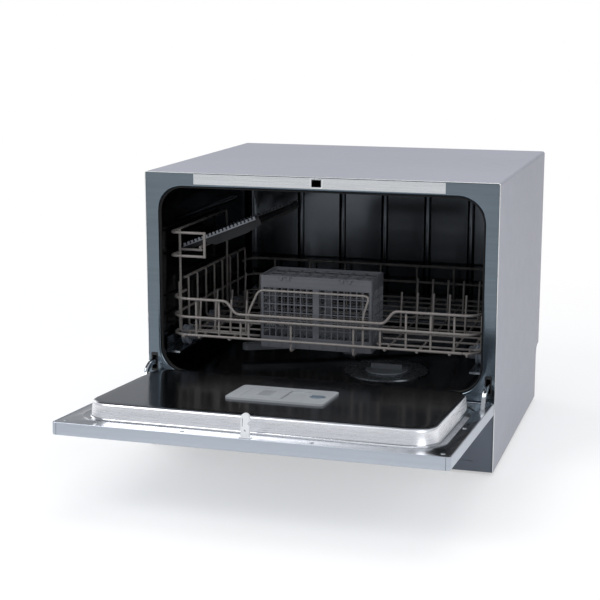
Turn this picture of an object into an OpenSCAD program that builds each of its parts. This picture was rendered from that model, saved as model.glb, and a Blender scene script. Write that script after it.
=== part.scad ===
// Countertop dishwasher: steel cabinet, drop-down door, wire rack on wheels, spray arm and base machinery.
// Millimetres, +Z up. The door faces -Y. The origin is the middle of the footprint with the door open.

/* [Cabinet] */
// Width of the cabinet
cabinet_width = 550; // [540:1:600]
// Depth of the cabinet without the door
cabinet_depth = 480; // [470:1:520]
// Height of the cabinet on its feet
cabinet_height = 438; // [436:1:470]
// Thickness of the folded steel sheets
sheet = 1.2; // [0.8:0.1:1.6]
// Outer radius of the folds along the top edges
wrap_radius = 4; // [2.5:0.5:8]
// Height of the rubber feet under the base
foot_height = 4; // [3:0.5:10]
// Radius of each foot
foot_radius = 14; // [8:1:18]
// Depth of the step at the lower rear, where the hoses connect
recess_depth = 30; // [20:1:40]
// Height of that step
recess_height = 93; // [80:1:98]
// Running clearance between sheets that are fitted together
fit = 0.2; // [0.1:0.05:0.4]

/* [Front frame] */
// Distance from each side of the cabinet to the tub opening
side_margin = 21; // [19:0.5:25]
// Height of the lower edge of the opening
opening_bottom = 122; // [121:0.5:124]
// Distance from the top of the cabinet to the tub opening
top_margin = 22; // [20:0.5:24]
// Corner radius of the opening
opening_radius = 40; // [20:1:60]
// Depth of the folded lip round the opening
lip_depth = 11; // [6:1:16]
// Height at which the front frame starts, above the control panel
frame_bottom = 110.5; // [109:0.5:112]
// Distance from each side of the cabinet to the brushed strip above the opening
strip_margin = 80; // [30:5:180]
// Height of the brushed strip
strip_height = 16; // [15:0.5:17]
// Width of the latch slot
latch_slot_width = 16; // [14:1:24]
// Height of the latch slot
latch_slot_height = 11.5; // [10:0.5:13]

/* [Tub] */
// Gap between the folded lip and the inside of the tub
tub_gap = 2; // [1.8:0.1:3]
// Distance from the tub's rear wall to the back of the cabinet
tub_rear_gap = 40; // [34:1:44]
// Height that the pressed ribs stand out of the rear wall
rib_rise = 3; // [1:0.5:5]
// Number of pressed ribs on the rear wall
rib_count = 5; // [2:1:7]

/* [Door] */
// Distance from the top of the cabinet to the closed door's upper edge
door_top_gap = 2; // [1.5:0.5:9]
// Thickness of the door's outer shell
door_thickness = 18; // [17:0.5:20]
// Gap between the closed door and the front frame
door_gap = 2; // [1.8:0.1:3]
// Height of the closed door's lower edge
door_bottom = 98.5; // [98:0.5:100]
// Corner radius of the door's front
door_corner = 4; // [2:0.5:10]
// Angle that the open door stays above level
door_tilt = 3.5; // [0:0.5:5]
// Distance of the hinge pins in front of the frame
hinge_forward = 11; // [10.5:0.5:12]
// Height of the hinge pins
hinge_height = 104; // [103.5:0.5:105]
// Radius of the hinge pins
hinge_pin_radius = 3; // [2.5:0.25:3.5]
// Thickness of the liner's sheet
liner_sheet = 1; // [0.8:0.1:1.4]
// Gap between the liner's raised pan and each side of the tub opening
pan_side_gap = 8; // [7:0.5:14]
// Gap between the closed door's pan and the top of the tub opening
pan_top_gap = 16; // [12:1:36]
// Distance from the closed door's hinge to the raised pan
pan_offset = 26; // [24:1:30]
// Height that the pan stands out of the liner
pan_rise = 23.2; // [16:0.2:24]
// Corner radius of the pan
pan_radius = 38; // [20:1:50]
// Radius of the curved hinge arms
arm_radius = 35; // [34:0.5:36]
// Radial width of the curved hinge arms
arm_band = 7; // [5:0.5:8]
// Thickness of the hinge arms
arm_thickness = 6; // [4:0.5:6.5]
// Width of the finger recess in the door's front
grip_width = 150; // [100:5:220]
// Height of the finger recess
grip_height = 26; // [18:1:32]
// Depth of the finger recess
grip_depth = 12; // [8:0.5:13]
// Width of the latch hook
hook_width = 12; // [8:0.5:13]
// Length of the latch hook
hook_length = 33; // [24:1:36]
// Thickness of the latch hook
hook_thickness = 5; // [4:0.5:6]

/* [Rack] */
// Gap between the middle of a side rail and the side of the tub opening
rack_side_gap = 6.5; // [6:0.5:14]
// Gap between the middle of the rear rail and the tub's rear wall
rack_rear_gap = 22; // [17:1:32]
// Distance of the front rail behind the front plane when the rack is in
rack_inset = 28; // [27:0.5:32]
// Height of the lowest rails
rail_low = 177; // [176:0.5:180]
// Distance between one rail and the next
rail_step = 29; // [24:1:32]
// Height that the top front rail dips for taking dishes
rail_dip = 20; // [0:1:22]
// Corner radius of the rails
rail_corner = 28; // [20:1:40]
// Radius of the coated rail wires
rail_wire = 2.2; // [1.8:0.1:2.4]
// Radius of the floor wires and tines
thin_wire = 1.8; // [1.4:0.1:2]
// Distance between neighbouring floor wires
floor_pitch = 50; // [40:1:60]
// Height of the tines above the floor
tine_height = 62; // [40:1:70]
// Distance from the front rail to the first row of tines on the left
left_tines = 40; // [36:1:60]
// Distance from the front rail to the first row of tines on the right
right_tines = 118; // [112:1:130]
// Distance between the two left rows of tines
left_row_pitch = 78; // [60:1:82]
// Distance between the two right rows of tines
right_row_pitch = 120; // [80:1:130]
// Distance between neighbouring tines
tine_pitch = 26; // [22:1:32]
// Radius of the wheels
wheel_radius = 15.5; // [14:0.5:16]
// Width of the wheels
wheel_width = 10; // [8:0.5:10.5]
// Distance between neighbouring wheels on one side
wheel_pitch = 121; // [100:1:125]
// Distance from the front rail to the first wheel
wheel_setback = 49; // [44:1:60]
// Height of the tracks that the wheels roll on
track_height = 150.5; // [150:0.5:152]

/* [Cup shelf] */
// Length of the cup shelf from its pivot
shelf_length = 148; // [120:1:150]
// Width of the cup shelf along the rack
shelf_width = 206; // [150:2:220]
// Angle at which the cup shelf rests
shelf_tilt = 22; // [15:1:24]
// Thickness of the cup shelf
shelf_thickness = 5; // [4:0.5:7]
// Height of the cup shelf's pivot wire
shelf_pivot_height = 302; // [296:1:304]
// Height of the guard wire above the pivot wire
guard_rise = 37; // [30:1:42]

/* [Cutlery basket] */
// Width of the cutlery basket
basket_width = 180; // [160:2:184]
// Depth of the cutlery basket
basket_depth = 78; // [60:1:82]
// Height of the cutlery basket
basket_height = 114; // [100:1:116]
// Wall thickness of the basket
basket_wall = 2.2; // [1.8:0.2:3]
// Number of bars across each long wall of the basket
basket_bars = 16; // [8:1:20]

/* [Controls] */
// Width of the display window
window_width = 64; // [40:2:80]
// Height of the display window and the buttons' row
window_height = 22; // [16:1:26]
// Radius of the push buttons
button_radius = 8; // [6:0.5:9]
// Travel of the push buttons
button_travel = 1.5; // [1:0.1:1.8]
// Distance between neighbouring buttons
button_pitch = 44; // [36:1:50]

/* [Connections] */
// Radius of the water inlet's threaded spigot
inlet_radius = 13.2; // [10:0.1:14]
// Radius of the drain spigot
drain_radius = 10; // [8:0.5:11]
// Radius of the bore for the power cord
cord_radius = 3.75; // [3:0.25:5]

/* [Hidden] */
$fn = 32;
SMOOTH = 64;

// places of the cabinet's pieces
half_width = cabinet_width / 2;
opening_width = cabinet_width - 2 * side_margin;
opening_top = cabinet_height - top_margin;
strip_width = cabinet_width - 2 * strip_margin;
tub_depth = cabinet_depth - tub_rear_gap;
inner_x = half_width - sheet - fit;
touch = 0.3;
running = 0.08;
riser_radius = 5;
base_z = foot_height;
tray_floor = 2.5;
panel_setback = 2;
panel_wall = 2.5;
frame_top = cabinet_height - sheet - fit;
opening_mid = (opening_bottom + opening_top) / 2;
opening_height = opening_top - opening_bottom;
tub_width = opening_width + 2 * sheet + 2 * (tub_gap - sheet);
tub_height = opening_height + 2 * tub_gap;
tub_radius = opening_radius + tub_gap;
tub_front = sheet + touch;
tub_floor = opening_bottom - tub_gap;
tub_wall_x = tub_width / 2 + sheet;
recess_y = cabinet_depth - recess_depth;
recess_top = base_z + recess_height;
connection_z = base_z + 46;
latch_z = opening_top + (cabinet_height - opening_top) / 2 + 1;

// places of the door's pieces, with the door closed
face_y = -door_gap - door_thickness;
door_height = cabinet_height - door_top_gap - door_bottom;
door_mid_z = door_bottom + door_height / 2;
liner_y = -door_gap - liner_sheet - 0.4;
pan_low = hinge_height + pan_offset;
pan_width = opening_width - 2 * pan_side_gap;
pan_height = opening_top - pan_top_gap - pan_low;
pan_mid_z = pan_low + pan_height / 2;
pan_face_y = liner_y + liner_sheet + pan_rise;
open_angle = 90 - door_tilt;
hinge_y = -hinge_forward;
bracket_x = tub_wall_x + touch;
bracket_sheet = 3;
arm_x = bracket_x + bracket_sheet + 1 + arm_thickness / 2;
arm_tail = 50 - open_angle;
arm_slot_z = hinge_height + sqrt(arm_radius * arm_radius - hinge_forward * hinge_forward);
notch_top = hinge_height + 8;
grip_z = door_bottom + door_height - 25;
hook_z = latch_z - 1;

// the shift that puts the origin under the middle of the open appliance
door_top_rise = door_bottom + door_height - hinge_height;
door_front = -(hinge_y + (face_y - hinge_y) * cos(open_angle) - door_top_rise * sin(open_angle));
front_y = (door_front - cabinet_depth) / 2;

// places of the rack's pieces, with the rack in
rack_x = opening_width / 2 - rack_side_gap;
rack_front_y = rack_inset;
rack_rear_y = tub_depth - rack_rear_gap;
rail_mid = rail_low + rail_step;
rail_top = rail_low + 2 * rail_step;
rail_high = rail_top + 22;
weld = 0.05;
layer = rail_wire + thin_wire + weld;
floor_z = rail_low - layer;
cross_z = floor_z + 2 * thin_wire + weld;
pan_clear_y = pan_face_y + 3.5;
axle_z = track_height + touch + wheel_radius;
wheel_x = rack_x - 9;
wheel_first_y = rack_front_y + wheel_setback;
axle_radius = 3;
upright_x = rack_x - layer;
carrier_x = wheel_x - wheel_width / 2 - 7;
carrier_z = cross_z - thin_wire - weld - rail_wire;
track_inner = wheel_x - wheel_width / 2 - 2.2;
track_outer = tub_width / 2 - 3.2;
basket_x = -14;
basket_front_y = rack_front_y + 2 * rail_wire + thin_wire * 2 + 7;
basket_z = rail_low - 14;
basket_mid_y = basket_front_y + basket_depth / 2;
basket_left = basket_x - basket_width / 2;
basket_right = basket_x + basket_width / 2;
dip_left = basket_left - 35;
dip_right = basket_right + 23;
shelf_x = -rack_x;
shelf_mid_y = rack_front_y + rail_corner + 12 + shelf_width / 2;
spray_y = tub_depth / 2 + 1;
spray_z = tub_floor + 13;
spray_reach = tub_depth / 2 - 34;
filter_x = 84;
filter_y = 112;
filter_radius = 44;
sump_outlet_x = -12;
pump_z = tub_floor - sheet - touch - 40;
drain_outlet_y = 178;
drain_z = pump_z - 2;

// ---- shared shapes ----

// a flat outline in X and Z, pushed along Y
module along_y(start, length) {
    translate([0, start + length, 0]) rotate([90, 0, 0]) linear_extrude(length) children();
}

// a flat outline in Y and Z, pushed along X
module along_x(start, length) {
    translate([start, 0, 0]) rotate([90, 0, 90]) linear_extrude(length) children();
}

// a rectangle about its middle, with round corners
module rounded_rect(w, h, r) {
    square([w - 2 * r, h], center = true);
    square([w, h - 2 * r], center = true);
    for (x = [-1, 1], y = [-1, 1])
        translate([x * (w / 2 - r), y * (h / 2 - r)]) circle(r, $fn = SMOOTH);
}

// a straight wire from one point to another
module rod(from, to, r) {
    run = to - from;
    length = norm(run);
    translate(from) rotate([0, acos(run[2] / length), atan2(run[1], run[0])])
        cylinder(h = length, r = r);
}

// a bent wire through a list of points
module wire(points, r) {
    for (i = [1 : len(points) - 1]) rod(points[i - 1], points[i], r);
    for (i = [1 : len(points) - 2]) translate(points[i]) sphere(r * 1.02);
}

// a quarter turn of wire, lying flat
module wire_corner(centre, bend, r, start) {
    translate(centre) rotate([0, 0, start]) rotate_extrude(angle = 90, $fn = SMOOTH)
        translate([bend, 0]) circle(r);
}

// the same thing on the left and on the right
module both_sides() {
    children();
    mirror([1, 0, 0]) children();
}

// everything is modelled from the front plane and then put over the origin
module placed() {
    translate([0, front_y, 0]) children();
}

// the door is modelled closed and then swung open about its pins
module on_door() {
    placed() translate([0, hinge_y, hinge_height]) rotate([open_angle, 0, 0])
        translate([0, -hinge_y, -hinge_height]) children();
}

// a shallow pressed pan with round corners, hollow underneath
module pressed_pan(w, h, r, rise, wall) {
    difference() {
        linear_extrude(rise) rounded_rect(w, h, r);
        translate([0, 0, -1]) linear_extrude(rise - wall + 1)
            rounded_rect(w - 2 * wall, h - 2 * wall, r - wall);
    }
}

// ---- cabinet ----

module wrap_outline(grow) {
    w = cabinet_width / 2 - grow;
    top = cabinet_height - grow;
    r = max(wrap_radius - grow, 0.5);
    translate([-w, -1]) square([2 * w, top - r + 1]);
    translate([-w + r, -1]) square([2 * (w - r), top + 1]);
    for (x = [-1, 1]) translate([x * (w - r), top - r]) circle(r);
}

// one sheet folded over the top and both sides, cut back at the lower rear
module outer_wrap() {
    color("#b0b3b9") placed() difference() {
        along_y(0, cabinet_depth) difference() {
            wrap_outline(0);
            wrap_outline(sheet);
        }
        translate([-half_width - 1, -1, -2]) cube([cabinet_width + 2, cabinet_depth + 2, base_z + 3]);
        along_x(-half_width - 1, cabinet_width + 2)
            polygon([[recess_y, -1], [recess_y, recess_top - 14], [recess_y + 6, recess_top - 4],
                [recess_y + 16, recess_top], [cabinet_depth + 1, recess_top], [cabinet_depth + 1, -1]]);
    }
}

// the flat rear sheet with its vent slots
module back_panel() {
    vent = 5;
    plate_y = cabinet_depth - 2 * sheet - fit;
    color("#9aa0a6") placed() difference() {
        along_y(plate_y, sheet) translate([0, (frame_top + recess_top + sheet) / 2])
            rounded_rect(2 * inner_x, frame_top - recess_top - sheet, wrap_radius - sheet);
        for (i = [-6 : 6]) translate([i * 12, plate_y - 3, cabinet_height - 60])
            rotate([-90, 0, 0]) linear_extrude(8) {
                square([vent, 30], center = true);
                for (z = [-1, 1]) translate([0, z * 15]) circle(vent / 2);
            }
    }
}

// the folded sheet that closes the step and carries the hose and cord connections
module service_panel() {
    back_y = cabinet_depth - 2 * sheet - fit - touch;
    color("#8d9399") placed() difference() {
        along_x(-inner_x, 2 * inner_x) polygon([
            [recess_y - 2 * sheet, base_z], [recess_y - sheet, base_z],
            [recess_y - sheet, recess_top - 13.7], [recess_y + 5, recess_top - 3.1],
            [recess_y + 15.6, recess_top + sheet], [back_y, recess_top + sheet],
            [back_y, recess_top + 2 * sheet], [recess_y + 15.3, recess_top + 2 * sheet],
            [recess_y + 4.2, recess_top - 2.1], [recess_y - 2 * sheet, recess_top - 13.3]]);
        along_y(recess_y - 10, 20) for (hole = connection_places())
            translate([hole[0], hole[1]]) circle(hole[2] + touch);
    }
}

// X, height and hole radius of the inlet, the drain and the cord gland
function connection_places() = [
    [-half_width + 85, connection_z, inlet_radius + 3],
    [-half_width + 155, connection_z, drain_radius + 2],
    [half_width - 75, connection_z, cord_radius + 5]];

// the moulded floor of the base, with side walls and cross ribs
module base_tray() {
    wall_height = 76;
    front = panel_setback + panel_wall + touch;
    length = recess_y - 2 * sheet - touch - front;
    color("#3c3f45") placed() difference() {
        union() {
            translate([-inner_x, front, base_z]) cube([2 * inner_x, length, tray_floor]);
            both_sides() translate([inner_x - tray_floor, front, base_z])
                cube([tray_floor, length, wall_height]);
            translate([-inner_x, front + length - tray_floor, base_z])
                cube([2 * inner_x, tray_floor, wall_height]);
            for (x = [-200, -140, -48, 10, 120, 220])
                translate([x, front, base_z]) cube([tray_floor, length, 9]);
        }
        along_y(recess_y - 12, 16) for (hole = connection_places())
            translate([hole[0], hole[1]]) circle(hole[2] + 6);
    }
}

function button_x(i) = 74 + i * button_pitch;
control_z = 52;
board_gap = 7;
board_left = -60;
board_width = 270;
board_height = 52;
board_sheet = 1.6;

// the moulded panel under the door, with the window, the buttons and the hinge slots
module front_control_panel() {
    height = frame_bottom - touch - base_z;
    color("#5c616b") placed() difference() {
        union() {
            along_x(-inner_x, 2 * inner_x) translate([panel_setback, base_z])
                square([panel_wall, height]);
            along_y(panel_setback + panel_wall - 0.1, board_gap - touch + 0.1)
                for (x = [board_left + 10, board_left + board_width - 10], z = [-1, 1])
                    translate([x, control_z + z * (board_height / 2 - 6)]) circle(3);
        }
        along_y(-1, 10) {
            translate([0, control_z]) rounded_rect(window_width, window_height, 4);
            for (i = [0 : 2]) translate([button_x(i), control_z]) circle(button_radius + touch);
            for (x = [-1, 1]) translate([x * (bracket_x + bracket_sheet / 2), frame_bottom - 5])
                square([bracket_sheet + 1.2, 19], center = true);
        }
        translate([0, 0, 20]) along_y(-1, panel_setback + 1.8) for (z = [0, 66])
            translate([0, z]) square([2 * inner_x - 60, 0.8], center = true);
    }
}

// the clear window over the display
module display_window() {
    color("#15181d") placed() along_y(panel_setback + 0.2, panel_wall)
        translate([0, control_z]) rounded_rect(window_width - touch, window_height - touch, 3.8);
}

// the circuit board behind the controls, with its switches, relays and display
module control_board() {
    board_y = panel_setback + panel_wall + board_gap;
    color("#1f6b3a") placed() {
        translate([board_left, board_y, control_z - board_height / 2])
            cube([board_width, board_sheet, board_height]);
        for (i = [0 : 2]) translate([button_x(i), board_y, control_z]) rotate([90, 0, 0])
            cylinder(h = 3.2, r = 3);
        translate([-30, board_y - 6, control_z - 9]) cube([60, 6, 18]);
        for (x = [board_left + 10, board_left + 190, board_left + 220])
            translate([x, board_y + board_sheet, control_z - 14]) cube([18, 15, 14]);
    }
}

// the stainless frame round the opening, with its folded lip
module front_frame() {
    color("#8e99a3") placed() {
        difference() {
            along_y(0, sheet) translate([0, (frame_top + frame_bottom) / 2])
                rounded_rect(2 * inner_x, frame_top - frame_bottom, wrap_radius - sheet);
            along_y(-1, 4) translate([0, opening_mid])
                rounded_rect(opening_width, opening_height, opening_radius);
            along_y(-1, 4) translate([0, latch_z])
                square([latch_slot_width, latch_slot_height], center = true);
            along_y(-1, 4) for (x = [-1, 1]) translate([x * arm_x, arm_slot_z])
                square([arm_thickness + 3, 26], center = true);
        }
        along_y(sheet, lip_depth) translate([0, opening_mid]) difference() {
            rounded_rect(opening_width + 2 * sheet, opening_height + 2 * sheet, opening_radius + sheet);
            rounded_rect(opening_width, opening_height, opening_radius);
        }
    }
}

// the bright brushed strip above the opening, with the latch slot's bezel
module latch_trim() {
    proud = 0.6;
    color("#cfd3d6") placed() difference() {
        union() {
            along_y(-proud, proud) translate([0, latch_z])
                square([strip_width, strip_height], center = true);
            along_y(-proud - 0.5, 1) translate([0, latch_z])
                rounded_rect(latch_slot_width + 5, latch_slot_height + 4, 2);
        }
        along_y(-3, 6) translate([0, latch_z])
            rounded_rect(latch_slot_width - 1, latch_slot_height - 0.6, 1);
    }
}

// the box behind the slot that catches the hook and holds the door switch
module latch_housing() {
    depth = hook_length + 8;
    wall = 2;
    color("#202226") placed() difference() {
        along_y(sheet + 0.1, depth) translate([0, latch_z])
            square([latch_slot_width + 2 * wall, latch_slot_height + 2 * wall], center = true);
        along_y(0, depth - wall) translate([0, latch_z])
            square([latch_slot_width, latch_slot_height], center = true);
    }
}

// the stainless washing chamber: a deep shell with ribs on its rear wall
module tub() {
    outer_w = tub_width + 2 * sheet;
    outer_h = tub_height + 2 * sheet;
    color("#9ea4a9") placed() difference() {
        union() {
            along_y(tub_front, tub_depth - tub_front) translate([0, opening_mid]) difference() {
                rounded_rect(outer_w, outer_h, tub_radius + sheet);
                rounded_rect(tub_width, tub_height, tub_radius);
            }
            along_y(tub_depth, sheet) translate([0, opening_mid])
                rounded_rect(outer_w, outer_h, tub_radius + sheet);
            for (i = [0 : rib_count - 1])
                translate([(i - (rib_count - 1) / 2) * 78, tub_depth, tub_floor + 40])
                    intersection() {
                        translate([0, 5, 0]) cylinder(h = tub_height - 80, r = 5 + rib_rise);
                        translate([-10, -rib_rise, 0]) cube([20, rib_rise + sheet / 2, tub_height]);
                    }
        }
        translate([filter_x, filter_y, tub_floor - 5]) cylinder(h = 10, r = filter_radius + 1);
        translate([0, spray_y, tub_floor - 5]) cylinder(h = 10, r = 10);
    }
}

// the soft seal round the opening
module door_gasket() {
    color("#17181b") placed() along_y(3, lip_depth - 4) translate([0, opening_mid]) difference() {
        rounded_rect(opening_width - 0.4, opening_height - 0.4, opening_radius - 0.2);
        rounded_rect(opening_width - 4.4, opening_height - 4.4, opening_radius - 2.2);
    }
}

// the angle on the side of the tub that three wheels roll along
module rack_track() {
    along_y(pan_clear_y, tub_depth - pan_clear_y - 30) polygon([
        [track_inner, track_height - 3], [track_outer, track_height - 3],
        [track_outer, track_height + 22], [track_outer - 1.6, track_height + 22],
        [track_outer - 1.6, track_height], [track_inner, track_height]]);
    for (i = [0 : 2]) translate([track_outer - 0.1, 60 + i * (tub_depth / 2 - 80), track_height + 14])
        rotate([0, 90, 0]) cylinder(h = 3, r = 5);
}

module rack_track_left() {
    color("#7f868c") placed() mirror([1, 0, 0]) rack_track();
}

module rack_track_right() {
    color("#7f868c") placed() rack_track();
}

// the plates behind the frame that carry the hinge pins
module hinge_brackets() {
    color("#70757b") placed() both_sides() difference() {
        along_x(bracket_x, bracket_sheet) {
            translate([hinge_y, hinge_height]) circle(6);
            translate([hinge_y, hinge_height - 5]) square([hinge_forward + 18, 10]);
            translate([panel_setback + panel_wall + 1, hinge_height - 5]) square([14, 44]);
        }
        along_x(bracket_x - 1, bracket_sheet + 2) translate([hinge_y, hinge_height])
            circle(hinge_pin_radius + 0.02);
    }
}

module hinge_pins() {
    outer_x = arm_x + arm_thickness / 2 + 0.5;
    color("#c9ccd0") placed() both_sides() {
        along_x(bracket_x - 0.1, outer_x - bracket_x + 0.1) translate([hinge_y, hinge_height])
            circle(hinge_pin_radius);
        along_x(outer_x, 1.2) translate([hinge_y, hinge_height]) circle(hinge_pin_radius + 1.4);
    }
}

// the dark sleeves that the hinge arms slide through
module hinge_slot_bezels() {
    color("#131417") placed() both_sides() difference() {
        union() {
            along_y(-0.7, 0.7) translate([arm_x, arm_slot_z])
                rounded_rect(arm_thickness + 5, 30, 2);
            along_y(-0.1, 5.1) translate([arm_x, arm_slot_z])
                square([arm_thickness + 2.6, 25.6], center = true);
        }
        along_y(-2, 10) translate([arm_x, arm_slot_z - 0.5])
            square([arm_thickness + 1, 22], center = true);
    }
}

// the perforated plate round the filter cup
module filter_plate() {
    plate = 1;
    color("#aab0b5") placed() translate([filter_x, filter_y, tub_floor + touch]) difference() {
        cylinder(h = plate, r = filter_radius + 22, $fn = SMOOTH);
        translate([0, 0, -1]) cylinder(h = plate + 2, r = filter_radius - 14);
        for (ring = [0 : 2]) for (a = [0 : 15 : 359])
            rotate([0, 0, a + ring * 7.5]) translate([filter_radius - 7 + ring * 10, 0, -1])
                cylinder(h = plate + 2, r = 1.6, $fn = 16);
    }
}

// the post that feeds the spray arm and keeps it down
module spray_riser() {
    color("#4a4d52") placed() translate([0, spray_y, 0]) {
        translate([0, 0, tub_floor + touch]) cylinder(h = 2, r = 20);
        translate([0, 0, tub_floor - 26]) cylinder(h = spray_z - tub_floor + 26 - touch, r = 9);
        translate([0, 0, spray_z - 1]) cylinder(h = 14, r = riser_radius);
        translate([0, 0, spray_z + 10 + touch]) cylinder(h = 4, r = 9);
    }
}

// the well under the filter
module sump() {
    top = tub_floor - sheet - touch;
    color("#2f3238") placed() translate([filter_x, filter_y, 0]) difference() {
        union() {
            translate([0, 0, top - 3]) cylinder(h = 3, r = filter_radius + 14, $fn = SMOOTH);
            translate([0, 0, top - 28]) cylinder(h = 26, r = filter_radius + 3, $fn = SMOOTH);
            translate([0, 0, top - 52]) cylinder(h = 25, r = 30);
            translate([sump_outlet_x - filter_x, 0, pump_z]) rotate([0, 90, 0]) cylinder(h = 70, r = 11);
            translate([0, 20, drain_z]) rotate([-90, 0, 0])
                cylinder(h = drain_outlet_y - filter_y - 20, r = 8);
        }
        translate([0, 0, top - 26]) cylinder(h = 40, r = filter_radius);
        translate([0, 0, top - 49]) cylinder(h = 30, r = 27);
    }
}

// the circulation pump: volute and motor, on the axis of the sump's outlet
module wash_pump() {
    foot_z = base_z + tray_floor + touch;
    color("#6f7479") placed() translate([sump_outlet_x - touch, filter_y, pump_z]) {
        translate([-8, 0, 0]) rotate([0, 90, 0]) cylinder(h = 8, r = 13);
        translate([-37, 0, 0]) rotate([0, 90, 0]) cylinder(h = 30, r = 32);
        translate([-112, 0, 0]) rotate([0, 90, 0]) cylinder(h = 76, r = 27);
        translate([-122, 0, 0]) rotate([0, 90, 0]) cylinder(h = 11, r = 9);
        translate([-108, -22, foot_z - pump_z]) cube([60, 44, pump_z - foot_z - 18]);
    }
}

// the drain pump on the sump's rear outlet
module drain_pump() {
    foot_z = base_z + tray_floor + touch;
    color("#8a8f95") placed() translate([filter_x, drain_outlet_y + touch, drain_z]) {
        rotate([-90, 0, 0]) cylinder(h = 8, r = 10);
        translate([0, 7, 0]) rotate([-90, 0, 0]) cylinder(h = 22, r = 21);
        translate([0, 28, 0]) rotate([-90, 0, 0]) cylinder(h = 40, r = 17);
        translate([-14, 10, foot_z - drain_z]) cube([28, 54, drain_z - foot_z - 12]);
    }
}

// the flow-through heater between the pump and the spray arm
module water_heater() {
    z = base_z + tray_floor + 26;
    color("#b4b8bc") placed() translate([-150, spray_y + 20, z]) {
        rotate([0, 90, 0]) cylinder(h = 150, r = 19);
        for (x = [-6, 148]) translate([x, 0, 0]) rotate([0, 90, 0]) cylinder(h = 8, r = 23);
        for (x = [20, 110]) translate([x, -12, -26 + touch]) cube([14, 24, 12]);
    }
}

// the solenoid valve and its threaded spigot on the rear
module inlet_valve() {
    hole = connection_places()[0];
    color("#e6e6e0") placed() translate([hole[0], 0, hole[1]]) {
        along_y(recess_y - sheet + 0.1, 22) circle(inlet_radius);
        along_y(recess_y - 30, 31) circle(inlet_radius + 2.6);
        along_y(recess_y - 8, 5.3) circle(inlet_radius + 8);
        translate([-16, recess_y - 62, -18]) cube([32, 32.5, 40]);
    }
}

module drain_spigot() {
    hole = connection_places()[1];
    color("#d8d8d2") placed() translate([hole[0], 0, hole[1]]) difference() {
        union() {
            along_y(recess_y - 24, 48) circle(drain_radius);
            along_y(recess_y - 14, 15) circle(drain_radius + 1.6);
            along_y(recess_y - 14, 11.3) circle(drain_radius + 7);
        }
        along_y(recess_y - 30, 60) circle(drain_radius - 2.4);
    }
}

// the bush that the power cord passes through
module cord_gland() {
    hole = connection_places()[2];
    color("#191a1d") placed() translate([hole[0], 0, hole[1]]) difference() {
        union() {
            along_y(recess_y - 12, 20) circle(cord_radius + 4.8);
            along_y(recess_y - sheet + 0.1, 3) circle(cord_radius + 8);
        }
        along_y(recess_y - 20, 40) circle(cord_radius);
    }
}

// the flat tank between the tub and the left side, which vents the tub and fills it
module air_break_tank() {
    thick = half_width - sheet - tub_wall_x - 1;
    tank_height = opening_height - 74;
    channel = 16;
    color("#dcdad2") placed() along_x(-half_width + sheet + touch, thick)
        translate([tub_depth / 2 + 30, opening_mid - 10]) difference() {
            rounded_rect(230, tank_height, 18);
            for (i = [-1 : 1]) translate([i * 60, 0]) rounded_rect(channel, tank_height - 50, 7);
        }
}

// the felt pad on top of the tub
module sound_insulation() {
    thick = frame_top - (opening_top + tub_gap + sheet) - 2;
    color("#55524c") placed() translate([0, tub_depth / 2 + 24, opening_top + tub_gap + sheet + touch])
        linear_extrude(thick) rounded_rect(tub_width - 30, tub_depth - 80, 12);
}

module feet() {
    inset = 52;
    color("#1b1c1e") placed() for (x = [-1, 1], y = [inset, recess_y - inset])
        translate([x * (half_width - inset), y, 0]) {
            cylinder(h = foot_height * 0.6, r1 = foot_radius - 1.5, r2 = foot_radius);
            translate([0, 0, foot_height * 0.6]) cylinder(h = foot_height * 0.4, r = foot_radius);
        }
}

// the pan-head screws on the rear sheets
module case_screws() {
    head = 1.4;
    last = half_width - 25;
    low_row = [for (x = [-last + 20, -60, 60, last - 10]) [x, recess_y - sheet + 0.05, base_z + 16]];
    high_row = [for (i = [-2 : 2], z = [recess_top + 16, cabinet_height - 14])
        [i * last / 2, cabinet_depth - sheet - fit + 0.05, z]];
    color("#c4c7ca") placed() for (p = concat(low_row, high_row))
        translate(p) rotate([-90, 0, 0]) difference() {
            cylinder(h = head - 0.6, r = 3.4);
            for (a = [0, 90]) rotate([0, 0, a]) translate([-2, -0.4, 0.2]) cube([4, 0.8, head]);
        }
}

// ---- door ----

// where the hinge brackets and arms pass through the door's lower corners
module hinge_notches() {
    both_sides() translate([bracket_x - 0.7, face_y + 1.6, door_bottom - 2])
        cube([arm_x + arm_thickness / 2 + 3.4 - bracket_x, door_thickness + 3, notch_top - door_bottom + 2]);
}

// the folded outer shell, open towards the cabinet
module door_outer_panel() {
    color("#bcc5ce") on_door() difference() {
        along_y(face_y, door_thickness) translate([0, door_mid_z])
            rounded_rect(cabinet_width, door_height, door_corner);
        along_y(face_y + sheet, door_thickness) translate([0, door_mid_z])
            rounded_rect(cabinet_width - 2 * sheet, door_height - 2 * sheet, door_corner - sheet);
        along_y(face_y - 1, 4) translate([0, grip_z])
            rounded_rect(grip_width, grip_height, grip_height / 2 - 1);
        hinge_notches();
    }
}

// the pressed stainless liner: a flange with the raised pan
module door_liner() {
    color("#6d7075") on_door() difference() {
        union() {
            along_y(liner_y, liner_sheet) translate([0, door_mid_z]) difference() {
                rounded_rect(cabinet_width - 2 * (sheet + fit), door_height - 2 * (sheet + fit),
                    door_corner - sheet);
                translate([0, pan_mid_z - door_mid_z])
                    rounded_rect(pan_width - 2 * liner_sheet, pan_height - 2 * liner_sheet,
                        pan_radius - liner_sheet);
            }
            translate([0, liner_y + liner_sheet, pan_mid_z]) rotate([-90, 0, 0])
                pressed_pan(pan_width, pan_height, pan_radius, pan_rise, liner_sheet);
        }
        hinge_notches();
        both_sides() translate([arm_x - arm_thickness / 2 - 0.8, liner_y - 3, arm_slot_z - 8])
            cube([arm_thickness + 1.6, 8, 14]);
        translate([0, pan_face_y, pan_mid_z]) cube([dispenser_w + 0.6, 10, dispenser_h + 0.6], center = true);
    }
}

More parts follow.
